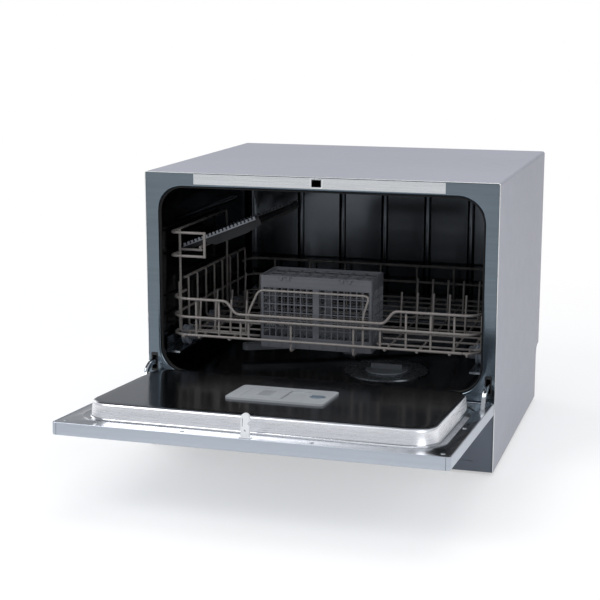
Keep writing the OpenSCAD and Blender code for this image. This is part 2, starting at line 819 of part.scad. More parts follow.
// the moulded cup behind the finger recess
module door_grip() {
    wall = 1.8;
    color("#3b3e43") on_door() translate([0, 0, grip_z]) difference() {
        union() {
            along_y(face_y + sheet + 0.1, grip_depth) rounded_rect(grip_width + 4, grip_height + 4,
                grip_height / 2 + 1);
            along_y(face_y + 0.2, 2) rounded_rect(grip_width - 0.4, grip_height - 0.4,
                grip_height / 2 - 1.2);
        }
        along_y(face_y - 1, grip_depth + 1) rounded_rect(grip_width - 2 * wall,
            grip_height - 2 * wall, grip_height / 2 - 1 - wall);
    }
}

// the white hook that the latch housing catches
module latch_hook() {
    foot_t = 0.9;
    start = liner_y + liner_sheet + 0.1;
    color("#eceeef") on_door() translate([0, start, hook_z]) difference() {
        union() {
            translate([0, 0, -hook_thickness / 2]) linear_extrude(hook_thickness) difference() {
                union() {
                    translate([-hook_width / 2, 0]) square([hook_width, hook_length - hook_width / 2]);
                    translate([0, hook_length - hook_width / 2]) circle(hook_width / 2);
                }
                translate([hook_width / 2, hook_length * 0.58]) circle(hook_width * 0.22);
                translate([0, hook_length * 0.3]) circle(1.6);
            }
            translate([-hook_width * 0.7, 0, -hook_thickness / 2 - 1])
                cube([hook_width * 1.4, foot_t, hook_thickness + 2]);
        }
        translate([-hook_width / 2 + 2, hook_length * 0.45, -hook_thickness])
            cube([1, hook_length * 0.34, 2 * hook_thickness]);
    }
}

// the side view of a hinge arm about its pin: hub, leg and the curved tail
module hinge_arm_outline() {
    far = 80;
    difference() {
        union() {
            circle(7);
            translate([-4, 0]) square([8, arm_radius + 12]);
            difference() {
                circle(arm_radius + arm_band / 2, $fn = SMOOTH);
                circle(arm_radius - arm_band / 2, $fn = SMOOTH);
                polygon([[0, 0], [0, far], [-far, far], [-far, -far],
                    [far * cos(arm_tail), far * sin(arm_tail)]]);
            }
        }
        circle(hinge_pin_radius + running);
    }
}

// the plates screwed inside the door, with the curved chrome arms
module hinge_arms() {
    color("#d7dbde") on_door() both_sides() {
        translate([0, hinge_y, hinge_height]) along_x(arm_x - arm_thickness / 2, arm_thickness)
            hinge_arm_outline();
        along_x(arm_x - 12, 12) translate([face_y + sheet + 0.1, hinge_height + 20])
            square([hinge_y - 4 - face_y - sheet, arm_radius - 10]);
    }
}

dispenser_w = 132;
dispenser_h = 78;
dispenser_proud = 3;
dispenser_lid_w = 58;
dispenser_lid_travel = 30;

// the detergent dispenser in the middle of the pan
module dispenser_body() {
    depth = 14;
    color("#9da1a5") on_door() translate([0, pan_face_y, pan_mid_z]) difference() {
        union() {
            along_y(-depth, depth + 0.1) square([dispenser_w, dispenser_h], center = true);
            along_y(0.05, dispenser_proud) rounded_rect(dispenser_w + 12, dispenser_h + 12, 8);
        }
        along_y(-depth + 1.5, depth) translate([-24, 0]) rounded_rect(50, 52, 6);
        along_y(dispenser_proud - 2, 4) translate([-24 + dispenser_lid_travel / 2, 0])
            square([dispenser_lid_w + dispenser_lid_travel + 0.8, 60.8], center = true);
        along_y(-8, 20) translate([52, 0]) circle(11.5);
    }
}

// the lid that slides off the detergent cup
module dispenser_lid() {
    color("#c3c6c9") on_door() translate([-24, pan_face_y + dispenser_proud - 1.7, pan_mid_z]) {
        along_y(0, 1.6) square([dispenser_lid_w, 60], center = true);
        along_y(1.6, 1.2) for (i = [-2 : 2]) translate([i * 4, 0]) square([1.6, 34], center = true);
    }
}

// the cap of the rinse-aid chamber
module rinse_aid_cap() {
    color("#4f6f8f") on_door() translate([52, pan_face_y, pan_mid_z]) difference() {
        union() {
            along_y(-7.5, 7.5 + dispenser_proud) circle(11);
            along_y(dispenser_proud, 2) square([17, 4], center = true);
        }
        along_y(-9, 5) circle(8);
    }
}

// ---- rack ----

function wheel_y(i) = wheel_first_y + i * wheel_pitch;

// the wires that carry the dishes, and the cradle for the cutlery basket
module rack_floor() {
    count = floor((rack_x - 30) / floor_pitch);
    side = upright_x + thin_wire;
    well_from = basket_left - 4;
    well_to = basket_right + 4;
    well_rear = basket_front_y + basket_depth + 6;
    front = rack_front_y + layer;
    lift = basket_z - touch - thin_wire;
    color("#7d7a78") placed() {
        for (i = [-count : count]) {
            x = i * floor_pitch;
            in_well = x > well_from && x < well_to;
            if (abs(i) == 1) {
                rod([x, front, rail_mid], [x, front, lift + thin_wire + weld], thin_wire);
                rod([x, front - thin_wire, lift], [x, well_rear + thin_wire, lift], thin_wire);
                rod([x, well_rear, lift + thin_wire + weld], [x, well_rear, floor_z - thin_wire - weld],
                    thin_wire);
                rod([x, well_rear - thin_wire, floor_z], [x, rack_rear_y, floor_z], thin_wire);
            } else
                rod([x, in_well ? well_rear + 4 : rack_front_y, floor_z], [x, rack_rear_y, floor_z],
                    thin_wire);
        }
        both_sides() rod([carrier_x, rack_front_y, carrier_z], [carrier_x, rack_rear_y, carrier_z],
            rail_wire);
        for (d = side_uprights()) {
            y = rack_front_y + d;
            if (y > well_rear)
                rod([-side, y, cross_z], [side, y, cross_z], thin_wire);
            else {
                rod([-side, y, cross_z], [well_from, y, cross_z], thin_wire);
                rod([well_to, y, cross_z], [side, y, cross_z], thin_wire);
            }
        }
    }
}

// the upright wires of the rack's front, by X
function front_uprights() = [-rack_x + 41.5, -rack_x + 79.5, dip_left + 7,
    dip_right - 7, rack_x - 115.5, rack_x - 77.5, rack_x - 41.5];

// the three front rails: the top one dips in the middle
module rack_front() {
    straight = rack_x - rail_corner - weld;
    slope = 15;
    y = rack_front_y;
    loop_y = y + layer;
    color("#8a8683") placed() {
        rod([-straight, y, rail_low], [straight, y, rail_low], rail_wire);
        rod([-straight, y, rail_mid], [straight, y, rail_mid], rail_wire);
        wire([[-straight, y, rail_top], [dip_left - slope, y, rail_top],
            [dip_left, y, rail_top - rail_dip], [dip_right, y, rail_top - rail_dip],
            [dip_right + slope, y, rail_top], [straight, y, rail_top]], rail_wire);
        for (x = front_uprights())
            rod([x, loop_y, floor_z + thin_wire + weld],
                [x, loop_y, x < dip_left || x > dip_right ? rail_top : rail_mid], thin_wire);
        wire([[basket_left - 15, loop_y, rail_low - 2], [basket_left - 15, loop_y, rail_top - 16],
            [basket_left + 2, loop_y, rail_top + 20], [basket_right - 1, loop_y, rail_top + 20],
            [basket_right - 11, loop_y, rail_top - 12], [basket_right - 11, loop_y, rail_low - 2]],
            thin_wire);
    }
}

module rack_rear() {
    straight = rack_x - rail_corner - weld;
    spacing = (rack_x - 49.5) / 3;
    color("#8a8683") placed() {
        for (z = [rail_low, rail_mid, rail_top])
            rod([-straight, rack_rear_y, z], [straight, rack_rear_y, z], rail_wire);
        for (i = [-3 : 3])
            rod([i * spacing, rack_rear_y - layer, floor_z + thin_wire + weld],
                [i * spacing, rack_rear_y - layer, rail_top], thin_wire);
    }
}

// the quarter turns that join a side to the front and the rear
module side_corners(levels) {
    for (z = levels) {
        wire_corner([rack_x - rail_corner, rack_front_y + rail_corner, z], rail_corner, rail_wire, 270);
        wire_corner([rack_x - rail_corner, rack_rear_y - rail_corner, z], rail_corner, rail_wire, 0);
    }
}

// the upright wires of a side, by distance from the front rail: two between one wheel and the next
function side_uprights() = [
    for (d = [for (i = [0 : 8]) wheel_setback + (i - 0.5) * wheel_pitch / 3])
        if (rack_front_y + d < rack_rear_y - rail_corner) d];

// the uprights of a side, and the ends of the low rail, which stops short of the wheels
module side_posts(from, to, height) {
    foot = cross_z + thin_wire + weld;
    rod([rack_x, from, rail_low], [rack_x, from + 4, rail_low], rail_wire);
    rod([rack_x, to - 13, rail_low], [rack_x, to, rail_low], rail_wire);
    for (d = side_uprights())
        rod([upright_x, rack_front_y + d, foot], [upright_x, rack_front_y + d, height], thin_wire);
}

module rack_side_left() {
    from = rack_front_y + rail_corner + weld;
    to = rack_rear_y - rail_corner - weld;
    first = rack_front_y + side_uprights()[1];
    color("#8a8683") placed() mirror([1, 0, 0]) {
        side_corners([rail_low, rail_mid, rail_top]);
        rod([rack_x, from, rail_mid], [rack_x, to, rail_mid], rail_wire);
        rod([rack_x, from, rail_top], [rack_x, first, rail_top], rail_wire);
        rod([rack_x, to, rail_top], [rack_x, to - 12, rail_top], rail_wire);
        rod([rack_x, first - 8, rail_high], [rack_x, to, rail_high], rail_wire);
        side_posts(from, to, rail_high);
    }
}

module rack_side_right() {
    from = rack_front_y + rail_corner + weld;
    to = rack_rear_y - rail_corner - weld;
    color("#8a8683") placed() {
        side_corners([rail_low, rail_mid, rail_top]);
        for (z = [rail_mid, rail_top]) rod([rack_x, from, z], [rack_x, to, z], rail_wire);
        side_posts(from, to, rail_top);
    }
}

// one row of upright tines on a cross wire
module tine_row(from, to, y, height) {
    base = cross_z;
    count = floor((to - from) / tine_pitch);
    rod([from - 6, y, base], [from + count * tine_pitch + 6, y, base], thin_wire);
    for (i = [0 : count]) {
        x = from + i * tine_pitch;
        top = [x, y + height * 0.12, base + height];
        rod([x, y, base + thin_wire + weld], top, thin_wire);
        translate(top) sphere(thin_wire * 1.02);
    }
}

module rack_tines() {
    left = -rack_x + 34;
    right = rack_x - 30;
    color("#8a8683") placed() {
        for (i = [0 : 1]) {
            tine_row(left, basket_left - 10, rack_front_y + left_tines + i * left_row_pitch,
                tine_height * 0.8);
            tine_row(basket_right + 22, right, rack_front_y + right_tines + i * right_row_pitch,
                tine_height);
        }
        tine_row(left + 8, basket_x + 60, rack_front_y + right_tines + right_row_pitch, tine_height * 0.9);
    }
}

// the two guard wires over the left side, their posts and the rest under the shelf
module cup_guard() {
    post_x = shelf_x + 2 * rail_wire + weld;
    post_a = rack_front_y + rail_corner + 5;
    post_b = shelf_mid_y + shelf_width / 2 + 8;
    reach = 56;
    front = rack_front_y + 6;
    arm = 42;
    rest_x = shelf_x + arm * cos(shelf_tilt);
    rest_drop = (shelf_thickness / 2 + touch + rail_wire) / cos(shelf_tilt);
    rest_z = shelf_pivot_height + arm * sin(shelf_tilt) - rest_drop;
    arm_z = rest_z - 2 * rail_wire - weld;
    color("#8a8683") placed() {
        for (z = [shelf_pivot_height, shelf_pivot_height + guard_rise])
            wire([[shelf_x + reach, front, z], [shelf_x + 8, front, z], [shelf_x, front + 8, z],
                [shelf_x, post_b + 10, z]], rail_wire);
        rod([shelf_x + reach, front, shelf_pivot_height + rail_wire + weld],
            [shelf_x + reach, front, shelf_pivot_height + guard_rise - rail_wire - weld], rail_wire);
        for (y = [post_a, post_b]) {
            rod([post_x, y, rail_low - 2], [post_x, y, shelf_pivot_height + guard_rise + 2], rail_wire);
            rod([post_x + rail_wire + weld, y, arm_z], [rest_x + 4, y, arm_z], rail_wire);
        }
        rod([rest_x, post_a - 3, rest_z], [rest_x, post_b + 3, rest_z], rail_wire);
    }
}

// the plastic clips on the carrying rails, each with the axle stub of a wheel
module wheel_clips() {
    inner = carrier_x - rail_wire - 2.3;
    outer = wheel_x - wheel_width / 2 - 0.5;
    cap = wheel_x + wheel_width / 2 + 0.4;
    color("#6b6f75") placed() both_sides() for (i = [0 : 2]) translate([0, wheel_y(i), 0]) {
        difference() {
            along_x(inner, outer - inner) {
                translate([0, axle_z]) circle(8);
                translate([-8, axle_z]) square([16, carrier_z + rail_wire + 2 - axle_z]);
            }
            translate([carrier_x, -20, carrier_z]) rotate([-90, 0, 0])
                cylinder(h = 40, r = rail_wire + weld);
        }
        along_x(outer - 0.1, cap - outer + 0.2) translate([0, axle_z]) circle(axle_radius);
        along_x(cap, 1) translate([0, axle_z]) circle(axle_radius + 1.6);
    }
}

// a spoked wheel with a rim on either side of its groove
module wheel(side, i) {
    x0 = wheel_x - wheel_width / 2;
    rim = wheel_width * 0.32;
    spoke_hole = wheel_radius * 0.19;
    color("#9a9fa6") placed() mirror([side < 0 ? 1 : 0, 0, 0])
        translate([x0, wheel_y(i), axle_z]) rotate([90, 0, 90]) difference() {
            union() {
                cylinder(h = wheel_width, r = wheel_radius - 1.6);
                for (z = [0, wheel_width - rim]) translate([0, 0, z]) cylinder(h = rim, r = wheel_radius);
            }
            translate([0, 0, -1]) cylinder(h = wheel_width + 2, r = axle_radius + running);
            translate([0, 0, wheel_width - 2]) difference() {
                cylinder(h = 3, r = wheel_radius - 3);
                translate([0, 0, -1]) cylinder(h = 5, r = axle_radius + 2.4);
            }
            for (a = [0 : 60 : 359]) rotate([0, 0, a]) translate([wheel_radius * 0.6, 0, -1])
                cylinder(h = wheel_width + 2, r = spoke_hole);
        }
}

module wheel_front_left() { wheel(-1, 0); }
module wheel_front_right() { wheel(1, 0); }
module wheel_middle_left() { wheel(-1, 1); }
module wheel_middle_right() { wheel(1, 1); }
module wheel_rear_left() { wheel(-1, 2); }
module wheel_rear_right() { wheel(1, 2); }

// the slotted shelf for cups, clipped on the lower guard wire
module cup_shelf() {
    pivot_hole = rail_wire + running;
    barrel = pivot_hole + 1.6;
    slots = 9;
    pitch = (shelf_length - 30) / slots;
    color("#3a3c42") placed() translate([shelf_x, shelf_mid_y, shelf_pivot_height])
        rotate([0, -shelf_tilt, 0]) difference() {
            union() {
                for (y = [-shelf_width / 2 + 12, -8, shelf_width / 2 - 28])
                    translate([0, y, 0]) along_y(0, 16) circle(barrel);
                translate([barrel - 1, -shelf_width / 2, -shelf_thickness / 2])
                    cube([shelf_length - barrel + 1, shelf_width, shelf_thickness]);
                for (y = [-1, 1]) translate([barrel + 2, y * (shelf_width / 2 - 1.5) - 1.5, 0])
                    cube([shelf_length - barrel - 2, 3, shelf_thickness / 2 + 5]);
            }
            along_y(-shelf_width, 2 * shelf_width) circle(pivot_hole);
            for (i = [0 : slots - 1], y = [-1, 1])
                translate([22 + i * pitch, y * shelf_width / 4, -shelf_thickness])
                    linear_extrude(4 * shelf_thickness)
                        square([pitch - 4.5, shelf_width / 2 - 16], center = true);
        }
}

// ---- cutlery basket ----

// bars that close a window: uprights and cross bars on a plane
module lattice(w, h, bars, rows, bar, depth) {
    for (i = [1 : bars - 1]) translate([-w / 2 + i * w / bars - bar / 2, 0, 0]) cube([bar, depth, h]);
    for (j = [1 : rows - 1]) translate([-w / 2, 0, j * h / rows - bar / 2]) cube([w, depth, bar]);
}

// the open box with lattice windows in its long walls
module cutlery_basket() {
    rim = 7;
    low = 18;
    window_h = basket_height - rim - low - 12;
    bar = 1.6;
    color("#5f6167") placed() translate([basket_x, basket_mid_y, basket_z]) {
        difference() {
            linear_extrude(basket_height) rounded_rect(basket_width, basket_depth, 5);
            translate([0, 0, low * 0.35]) linear_extrude(basket_height)
                rounded_rect(basket_width - 2 * basket_wall, basket_depth - 2 * basket_wall, 3);
            for (x = [-1, 1]) translate([x * basket_width / 4, 0, low])
                translate([-basket_width / 4 + 6, -basket_depth, 0])
                    cube([basket_width / 2 - 10, 2 * basket_depth, window_h]);
            translate([-basket_width, -basket_depth / 2 + 7, low])
                cube([2 * basket_width, basket_depth - 14, window_h]);
            for (i = [-7 : 7], y = [-1, 1]) translate([i * 11, y * basket_depth / 4, -1])
                linear_extrude(low) square([6, basket_depth / 2 - 10], center = true);
        }
        for (x = [-1, 1], y = [-1, 1]) {
            translate([x * basket_width / 4 + 1, y * (basket_depth / 2 - basket_wall / 2) - bar / 2, low])
                lattice(basket_width / 2 - 10, window_h, basket_bars / 2, 6, bar, bar);
        }
        for (x = [-1, 1])
            translate([x * (basket_width / 2 - basket_wall / 2), 0, low]) rotate([0, 0, 90])
                translate([0, -bar / 2, 0]) lattice(basket_depth - 14, window_h, 6, 6, bar, bar);
    }
}

// the divider with holes that keeps the cutlery apart
module cutlery_basket_grid() {
    plate = 2;
    w = basket_width - 2 * basket_wall - 1;
    d = basket_depth - 2 * basket_wall - 1;
    columns = 8;
    color("#4c4e53") placed() translate([basket_x, basket_mid_y, basket_z + basket_height - plate - 3]) {
        linear_extrude(plate) difference() {
            rounded_rect(w, d, 3);
            for (i = [0 : columns - 1], j = [-1, 0, 1])
                translate([(i - (columns - 1) / 2) * (w - 6) / columns, j * (d - 4) / 3])
                    rounded_rect((w - 6) / columns - 3.5, (d - 4) / 3 - 3.5, 2);
        }
        for (x = [-1, 1]) translate([x * w * 0.34 - 5, -d / 2, 0.1]) cube([10, 3, plate + 4]);
    }
}

// ---- washing parts ----

module spray_arm() {
    root = 15;
    tip = 9;
    thick = 10;
    color("#6e7277") placed() translate([0, spray_y, spray_z]) rotate([0, 0, 28]) difference() {
        union() {
            cylinder(h = thick, r = 18);
            linear_extrude(thick) for (side = [0, 180]) rotate([0, 0, side]) {
                polygon([[0, -root], [spray_reach - tip, -tip], [spray_reach - tip, tip], [0, root]]);
                translate([spray_reach - tip, 0]) circle(tip);
            }
        }
        translate([0, 0, -1]) cylinder(h = thick + 2, r = riser_radius + running);
        for (side = [0, 180], d = [46 : 26 : 176]) rotate([0, 0, side])
            translate([d, side == 0 ? 2 : -3, thick - 3]) cylinder(h = 5, r = 1.6);
    }
}

// the cup that twists out of the sump, with its grip bar
module filter_cup() {
    r = filter_radius - 15;
    height = 24;
    color("#7b8087") placed() translate([filter_x, filter_y, tub_floor + touch + 1.3]) difference() {
        union() {
            cylinder(h = 2, r = r + 5);
            translate([0, 0, -height]) cylinder(h = height + 1, r = r);
            translate([-r + 4, -2, 1]) cube([2 * r - 8, 4, 9]);
        }
        translate([0, 0, -height + 2]) cylinder(h = height - 2.5, r = r - 2);
        for (a = [0 : 30 : 359], z = [-18, -10]) rotate([0, 0, a]) translate([r - 5, 0, z])
            rotate([0, 90, 0]) cylinder(h = 10, r = 2, $fn = 16);
    }
}

// a push button: it stands proud of the panel and has a stem behind it
module push_button(i) {
    proud = button_travel - 0.2;
    color("#c8ccd1") placed() translate([button_x(i), 0, control_z]) difference() {
        union() {
            along_y(panel_setback - proud, proud + panel_wall + 1) circle(button_radius);
            along_y(panel_setback + panel_wall + touch, 0.8) circle(button_radius + 1.5);
            along_y(panel_setback + panel_wall + 1, 1) circle(3);
        }
        along_y(panel_setback - proud - 1, 1.4) circle(button_radius - 3);
    }
}

module button_power() { push_button(0); }
module button_program() { push_button(1); }
module button_start() { push_button(2); }

outer_wrap();
back_panel();
service_panel();
base_tray();
front_control_panel();
display_window();
control_board();
front_frame();
latch_trim();
latch_housing();
tub();
door_gasket();
rack_track_left();
rack_track_right();
hinge_brackets();
hinge_pins();
hinge_slot_bezels();
filter_plate();
spray_riser();
sump();
wash_pump();
drain_pump();
water_heater();
inlet_valve();
drain_spigot();
cord_gland();
air_break_tank();
sound_insulation();
feet();
case_screws();
door_outer_panel();
door_liner();
door_grip();
latch_hook();
hinge_arms();
dispenser_body();
dispenser_lid();
rinse_aid_cap();
rack_floor();
rack_front();
rack_rear();
rack_side_left();
rack_side_right();
rack_tines();
cup_guard();
wheel_clips();
wheel_front_left();
wheel_front_right();
wheel_middle_left();
wheel_middle_right();
wheel_rear_left();
wheel_rear_right();
cup_shelf();
cutlery_basket();
cutlery_basket_grid();
spray_arm();
filter_cup();
button_power();
button_program();
button_start();
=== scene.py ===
"""A countertop dishwasher: materials, detail pieces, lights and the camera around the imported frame.

Pieces are drawn in millimetres: x to the right, y behind the cabinet's front plane and z up.
The door's pieces are drawn with the door closed, and then swung open about the hinge pins.
"""

import math

import bmesh
import bpy
from mathutils import Matrix, Vector


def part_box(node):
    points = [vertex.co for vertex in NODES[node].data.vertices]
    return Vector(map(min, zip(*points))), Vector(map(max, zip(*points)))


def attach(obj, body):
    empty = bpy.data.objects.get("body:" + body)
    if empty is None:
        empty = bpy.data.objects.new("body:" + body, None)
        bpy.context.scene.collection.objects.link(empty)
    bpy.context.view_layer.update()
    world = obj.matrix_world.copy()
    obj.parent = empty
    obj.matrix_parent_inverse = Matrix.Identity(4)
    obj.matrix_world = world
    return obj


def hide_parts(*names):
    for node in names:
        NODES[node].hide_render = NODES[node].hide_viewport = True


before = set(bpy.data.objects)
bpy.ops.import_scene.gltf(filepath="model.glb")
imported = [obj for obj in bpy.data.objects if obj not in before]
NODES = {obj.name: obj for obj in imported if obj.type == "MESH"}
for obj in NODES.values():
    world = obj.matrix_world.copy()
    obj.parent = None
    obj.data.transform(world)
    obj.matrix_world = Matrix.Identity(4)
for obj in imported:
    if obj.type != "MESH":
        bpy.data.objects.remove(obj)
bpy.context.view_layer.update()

# ---- the appliance's main sizes, read from the CAD boxes ----


def low(node, axis):
    """The low side of a CAD node's box along x, y or z, in millimetres."""
    return round(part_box(node)[0]["xyz".index(axis)] * 1000, 4)


def high(node, axis):
    """The high side of a CAD node's box along x, y or z, in millimetres."""
    return round(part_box(node)[1]["xyz".index(axis)] * 1000, 4)


FRONT = low("front_frame", "y")


def behind(y):
    """How far a place of the row frame lies behind the front plane, in millimetres."""
    return round(y - FRONT, 3)


HALF_WIDTH = high("outer_wrap", "x")
HEIGHT = high("outer_wrap", "z")
PIN_Y = behind((low("hinge_pins", "y") + high("hinge_pins", "y")) / 2)
PIN_Z = round((low("hinge_pins", "z") + high("hinge_pins", "z")) / 2, 3)
OPEN_ANGLE = 86.5
SHARP_ANGLE = math.radians(32)

# where drawings go in the row frame, for meshes in metres
IN_CABINET = Matrix.Translation((0, FRONT / 1000, 0))
TO_PIN = Matrix.Translation((0, -PIN_Y / 1000, -PIN_Z / 1000))
ON_DOOR = IN_CABINET @ TO_PIN.inverted() @ Matrix.Rotation(math.radians(OPEN_ANGLE), 4, "X") @ TO_PIN

# ---- materials ----


def linear(code):
    """A linear colour from a display colour such as "8a8683"."""
    v = [int(code[i : i + 2], 16) / 255 for i in (0, 2, 4)]
    return tuple(x / 12.92 if x <= 0.04045 else ((x + 0.055) / 1.055) ** 2.4 for x in v)


def add_node(tree, kind, values=()):
    """A new shader node, with some of its inputs set from pairs of input and value."""
    made = tree.nodes.new("ShaderNode" + kind)
    for key, value in values:
        made.inputs[key].default_value = value
    return made


class Look:
    """A Principled material with colour variation, roughness variation and bump from nodes."""

    def __init__(self, name, colour, metallic=0.0, rough=0.5):
        self.material = bpy.data.materials.new(name)
        self.material.use_nodes = True
        self.tree = self.material.node_tree
        self.tree.nodes.clear()
        self.colour = linear(colour)
        self.rough = rough
        values = [("Base Color", (*self.colour, 1)), ("Metallic", metallic), ("Roughness", rough)]
        output = add_node(self.tree, "OutputMaterial")
        self.shader = add_node(self.tree, "BsdfPrincipled", values)
        self.tree.links.new(self.shader.outputs[0], output.inputs[0])
        self.coord = add_node(self.tree, "TexCoord").outputs["Object"]

    def noise(self, scale, detail, stretch):
        """Noise over the object's own space, denser along the directions with large stretches."""
        mapping = add_node(self.tree, "Mapping", [("Scale", stretch)])
        values = [("Scale", scale), ("Detail", detail), ("Roughness", 0.55)]
        texture = add_node(self.tree, "TexNoise", values)
        self.tree.links.new(self.coord, mapping.inputs["Vector"])
        self.tree.links.new(mapping.outputs[0], texture.inputs["Vector"])
        return texture.outputs["Fac"]

    def vary(self, amount=0.06, scale=6.0, stretch=(1, 1, 1)):
        """Lets the colour drift lighter and darker by a share of itself."""
        ramp = add_node(self.tree, "ValToRGB")
        for element, place, share in zip(ramp.color_ramp.elements, (0.35, 0.65), (1 - amount, 1 + amount)):
            element.position = place
            element.color = (*(min(c * share, 1) for c in self.colour), 1)
        self.tree.links.new(self.noise(scale, 4.0, stretch), ramp.inputs[0])
        self.tree.links.new(ramp.outputs[0], self.shader.inputs["Base Color"])
        return self

    def rough_vary(self, amount=0.06, scale=30.0, stretch=(1, 1, 1)):
        """Lets the roughness drift up and down."""
        values = [("From Min", 0.3), ("From Max", 0.7), ("To Min", max(self.rough - amount, 0.02)),
                  ("To Max", min(self.rough + amount, 1))]
        drift = add_node(self.tree, "MapRange", values)
        self.tree.links.new(self.noise(scale, 3.0, stretch), drift.inputs["Value"])
        self.tree.links.new(drift.outputs[0], self.shader.inputs["Roughness"])
        return self

    def bump(self, strength, scale, distance=0.0002, stretch=(1, 1, 1)):
        """Adds a fine grain to the surface."""
        grain = add_node(self.tree, "Bump", [("Strength", strength), ("Distance", distance)])
        self.tree.links.new(self.noise(scale, 2.0, stretch), grain.inputs["Height"])
        self.tree.links.new(grain.outputs[0], self.shader.inputs["Normal"])
        return self

    def set(self, **values):
        """Sets inputs of the shader, with underscores for the spaces in their names."""
        for key, value in values.items():
            self.shader.inputs[key.replace("_", " ")].default_value = value
        return self


def painted():
    """The matt grey paint of the wrap."""
    look = Look("painted_steel_grey", "abacb6", 0.12, 0.52)
    look.vary(0.025, 3.0).rough_vary(0.04, 60).bump(0.06, 900, 0.00005)
    return look.set(Coat_Weight=0.06, Coat_Roughness=0.35)


def door_paint():
    """The door's satin silver, with a faint grain along its width."""
    look = Look("door_satin_silver", "b3bac4", 0.55, 0.34)
    look.vary(0.03, 5, (1, 30, 30)).rough_vary(0.06, 40, (1, 30, 30))
    return look.bump(0.08, 120, 0.00005, (1, 60, 60))


def stainless(name, colour, rough, grain=(1, 40, 40), grain_bump=0.05):
    """Steel whose grain runs along the directions with small numbers."""
    look = Look(name, colour, 1.0, rough)
    look.vary(0.05, 8, grain).rough_vary(rough * 0.35, 30, grain)
    return look.bump(grain_bump, 90, 0.00005, grain)


def painted_reflection_pan_wall():
    """The brushed wall of the door's pan, in a near-white copy of the liner's steel: a painted reflection of
    the bright room.
    """
    look = Look("pan_wall_steel_painted_reflection", "f6f7fb", 0.68, 0.3)
    look.vary(0.04, 8, (1, 1, 40)).rough_vary(0.08, 30, (1, 1, 40))
    return look.bump(0.04, 90, 0.00005, (1, 1, 40))


def plastic(name, colour, rough=0.45, grain=600, bump=0.12, specular=0.5):
    """A moulded part or a rubber one, with a fine even grain."""
    look = Look(name, colour, 0.0, rough)
    look.vary(0.05, 25).rough_vary(0.06, 80).bump(bump, grain, 0.00008)
    return look.set(Specular_IOR_Level=specular)


LOOKS = {
    "paint": painted(),
    "door": door_paint(),
    "zinc": stainless("zinc_coated_sheet", "9ea3a8", 0.38, (6, 6, 6), 0.03),
    "frame": stainless("polished_front_frame", "66717a", 0.15, (1, 1, 30), 0.03),
    "strip": stainless("brushed_strip", "d3d6d9", 0.27, (1, 40, 60), 0.12),
    # the tub: the steel's own tone, darkened by painted shade of the inside
    "tub": stainless("tub_stainless_painted_shade", "484c51", 0.15, (20, 1, 20), 0.04),
    # the liner: the steel's own tone, darkened by a painted reflection of the dark tub
    "liner": stainless("liner_stainless_painted_dark_reflection", "6e7176", 0.16, (1, 30, 30), 0.03),
    # the pan wall: a near-white copy of the liner's steel, a painted reflection of the bright room
    "satin": painted_reflection_pan_wall(),
    # the flange: a lighter copy of the liner's steel, a painted reflection
    "flange": stainless("door_flange_painted_reflection", "c4c6ca", 0.17, (1, 30, 30), 0.03),
    "edge": stainless("bright_cut_edge", "e6e8ea", 0.22, (1, 1, 1), 0.02),
    "track": stainless("track_stainless", "9da3a8", 0.25, (30, 1, 30), 0.05),
    "chrome": stainless("chrome_arm", "e4e8ec", 0.06, (1, 1, 1), 0.01),
    "plate": stainless("filter_plate_steel", "a5abb0", 0.3, (4, 4, 4), 0.04),
    "panel": plastic("panel_plastic_blue_grey", "646b76", 0.34, 1800, 0.02),
    "tray": plastic("base_tray_plastic", "3a3d43", 0.6, 300, 0.15),
    "black": plastic("black_plastic", "101114", 0.38, 700, 0.1),
    "gasket": plastic("gasket_rubber", "0d0e10", 0.62, 500, 0.2, 0.35),
    "rubber": plastic("foot_rubber", "17181a", 0.75, 400, 0.25, 0.3),
    "pump": plastic("pump_plastic", "5a5e63", 0.5, 400, 0.15),
    "white": plastic("white_plastic", "dcdad2", 0.42, 500, 0.08),
    "hook": plastic("hook_plastic", "eef0f2", 0.25, 400, 0.03),
    "grey": plastic("dispenser_plastic", "a4a8ac", 0.4, 500, 0.08),
    "cap": plastic("cap_plastic", "6f7b88", 0.38, 500, 0.08),
    "coat": plastic("rack_nylon_coat", "817c79", 0.3, 900, 0.08, 0.6),
    "wheel": plastic("wheel_plastic", "868d98", 0.34, 600, 0.06),
    "clip": plastic("clip_plastic", "72767c", 0.42, 600, 0.08),
    "shelf": plastic("shelf_plastic", "17181b", 0.4, 500, 0.12, 0.3),
    "comb": plastic("shelf_comb_plastic", "7d8188", 0.36, 500, 0.08),
    "basket": plastic("basket_plastic", "5d5f65", 0.42, 600, 0.12),
    "spray": plastic("spray_plastic", "686c72", 0.42, 500, 0.1),
    "button": plastic("button_plastic", "c6cacf", 0.3, 500, 0.05),
    "board": plastic("circuit_board", "1c5a33", 0.4, 300, 0.1),
    "felt": plastic("felt_pad", "55524c", 0.95, 1500, 0.6, 0.2),
    "window": Look("display_window", "0b0d10", 0.0, 0.08).vary(0.1, 20).rough_vary(0.03, 50),
}

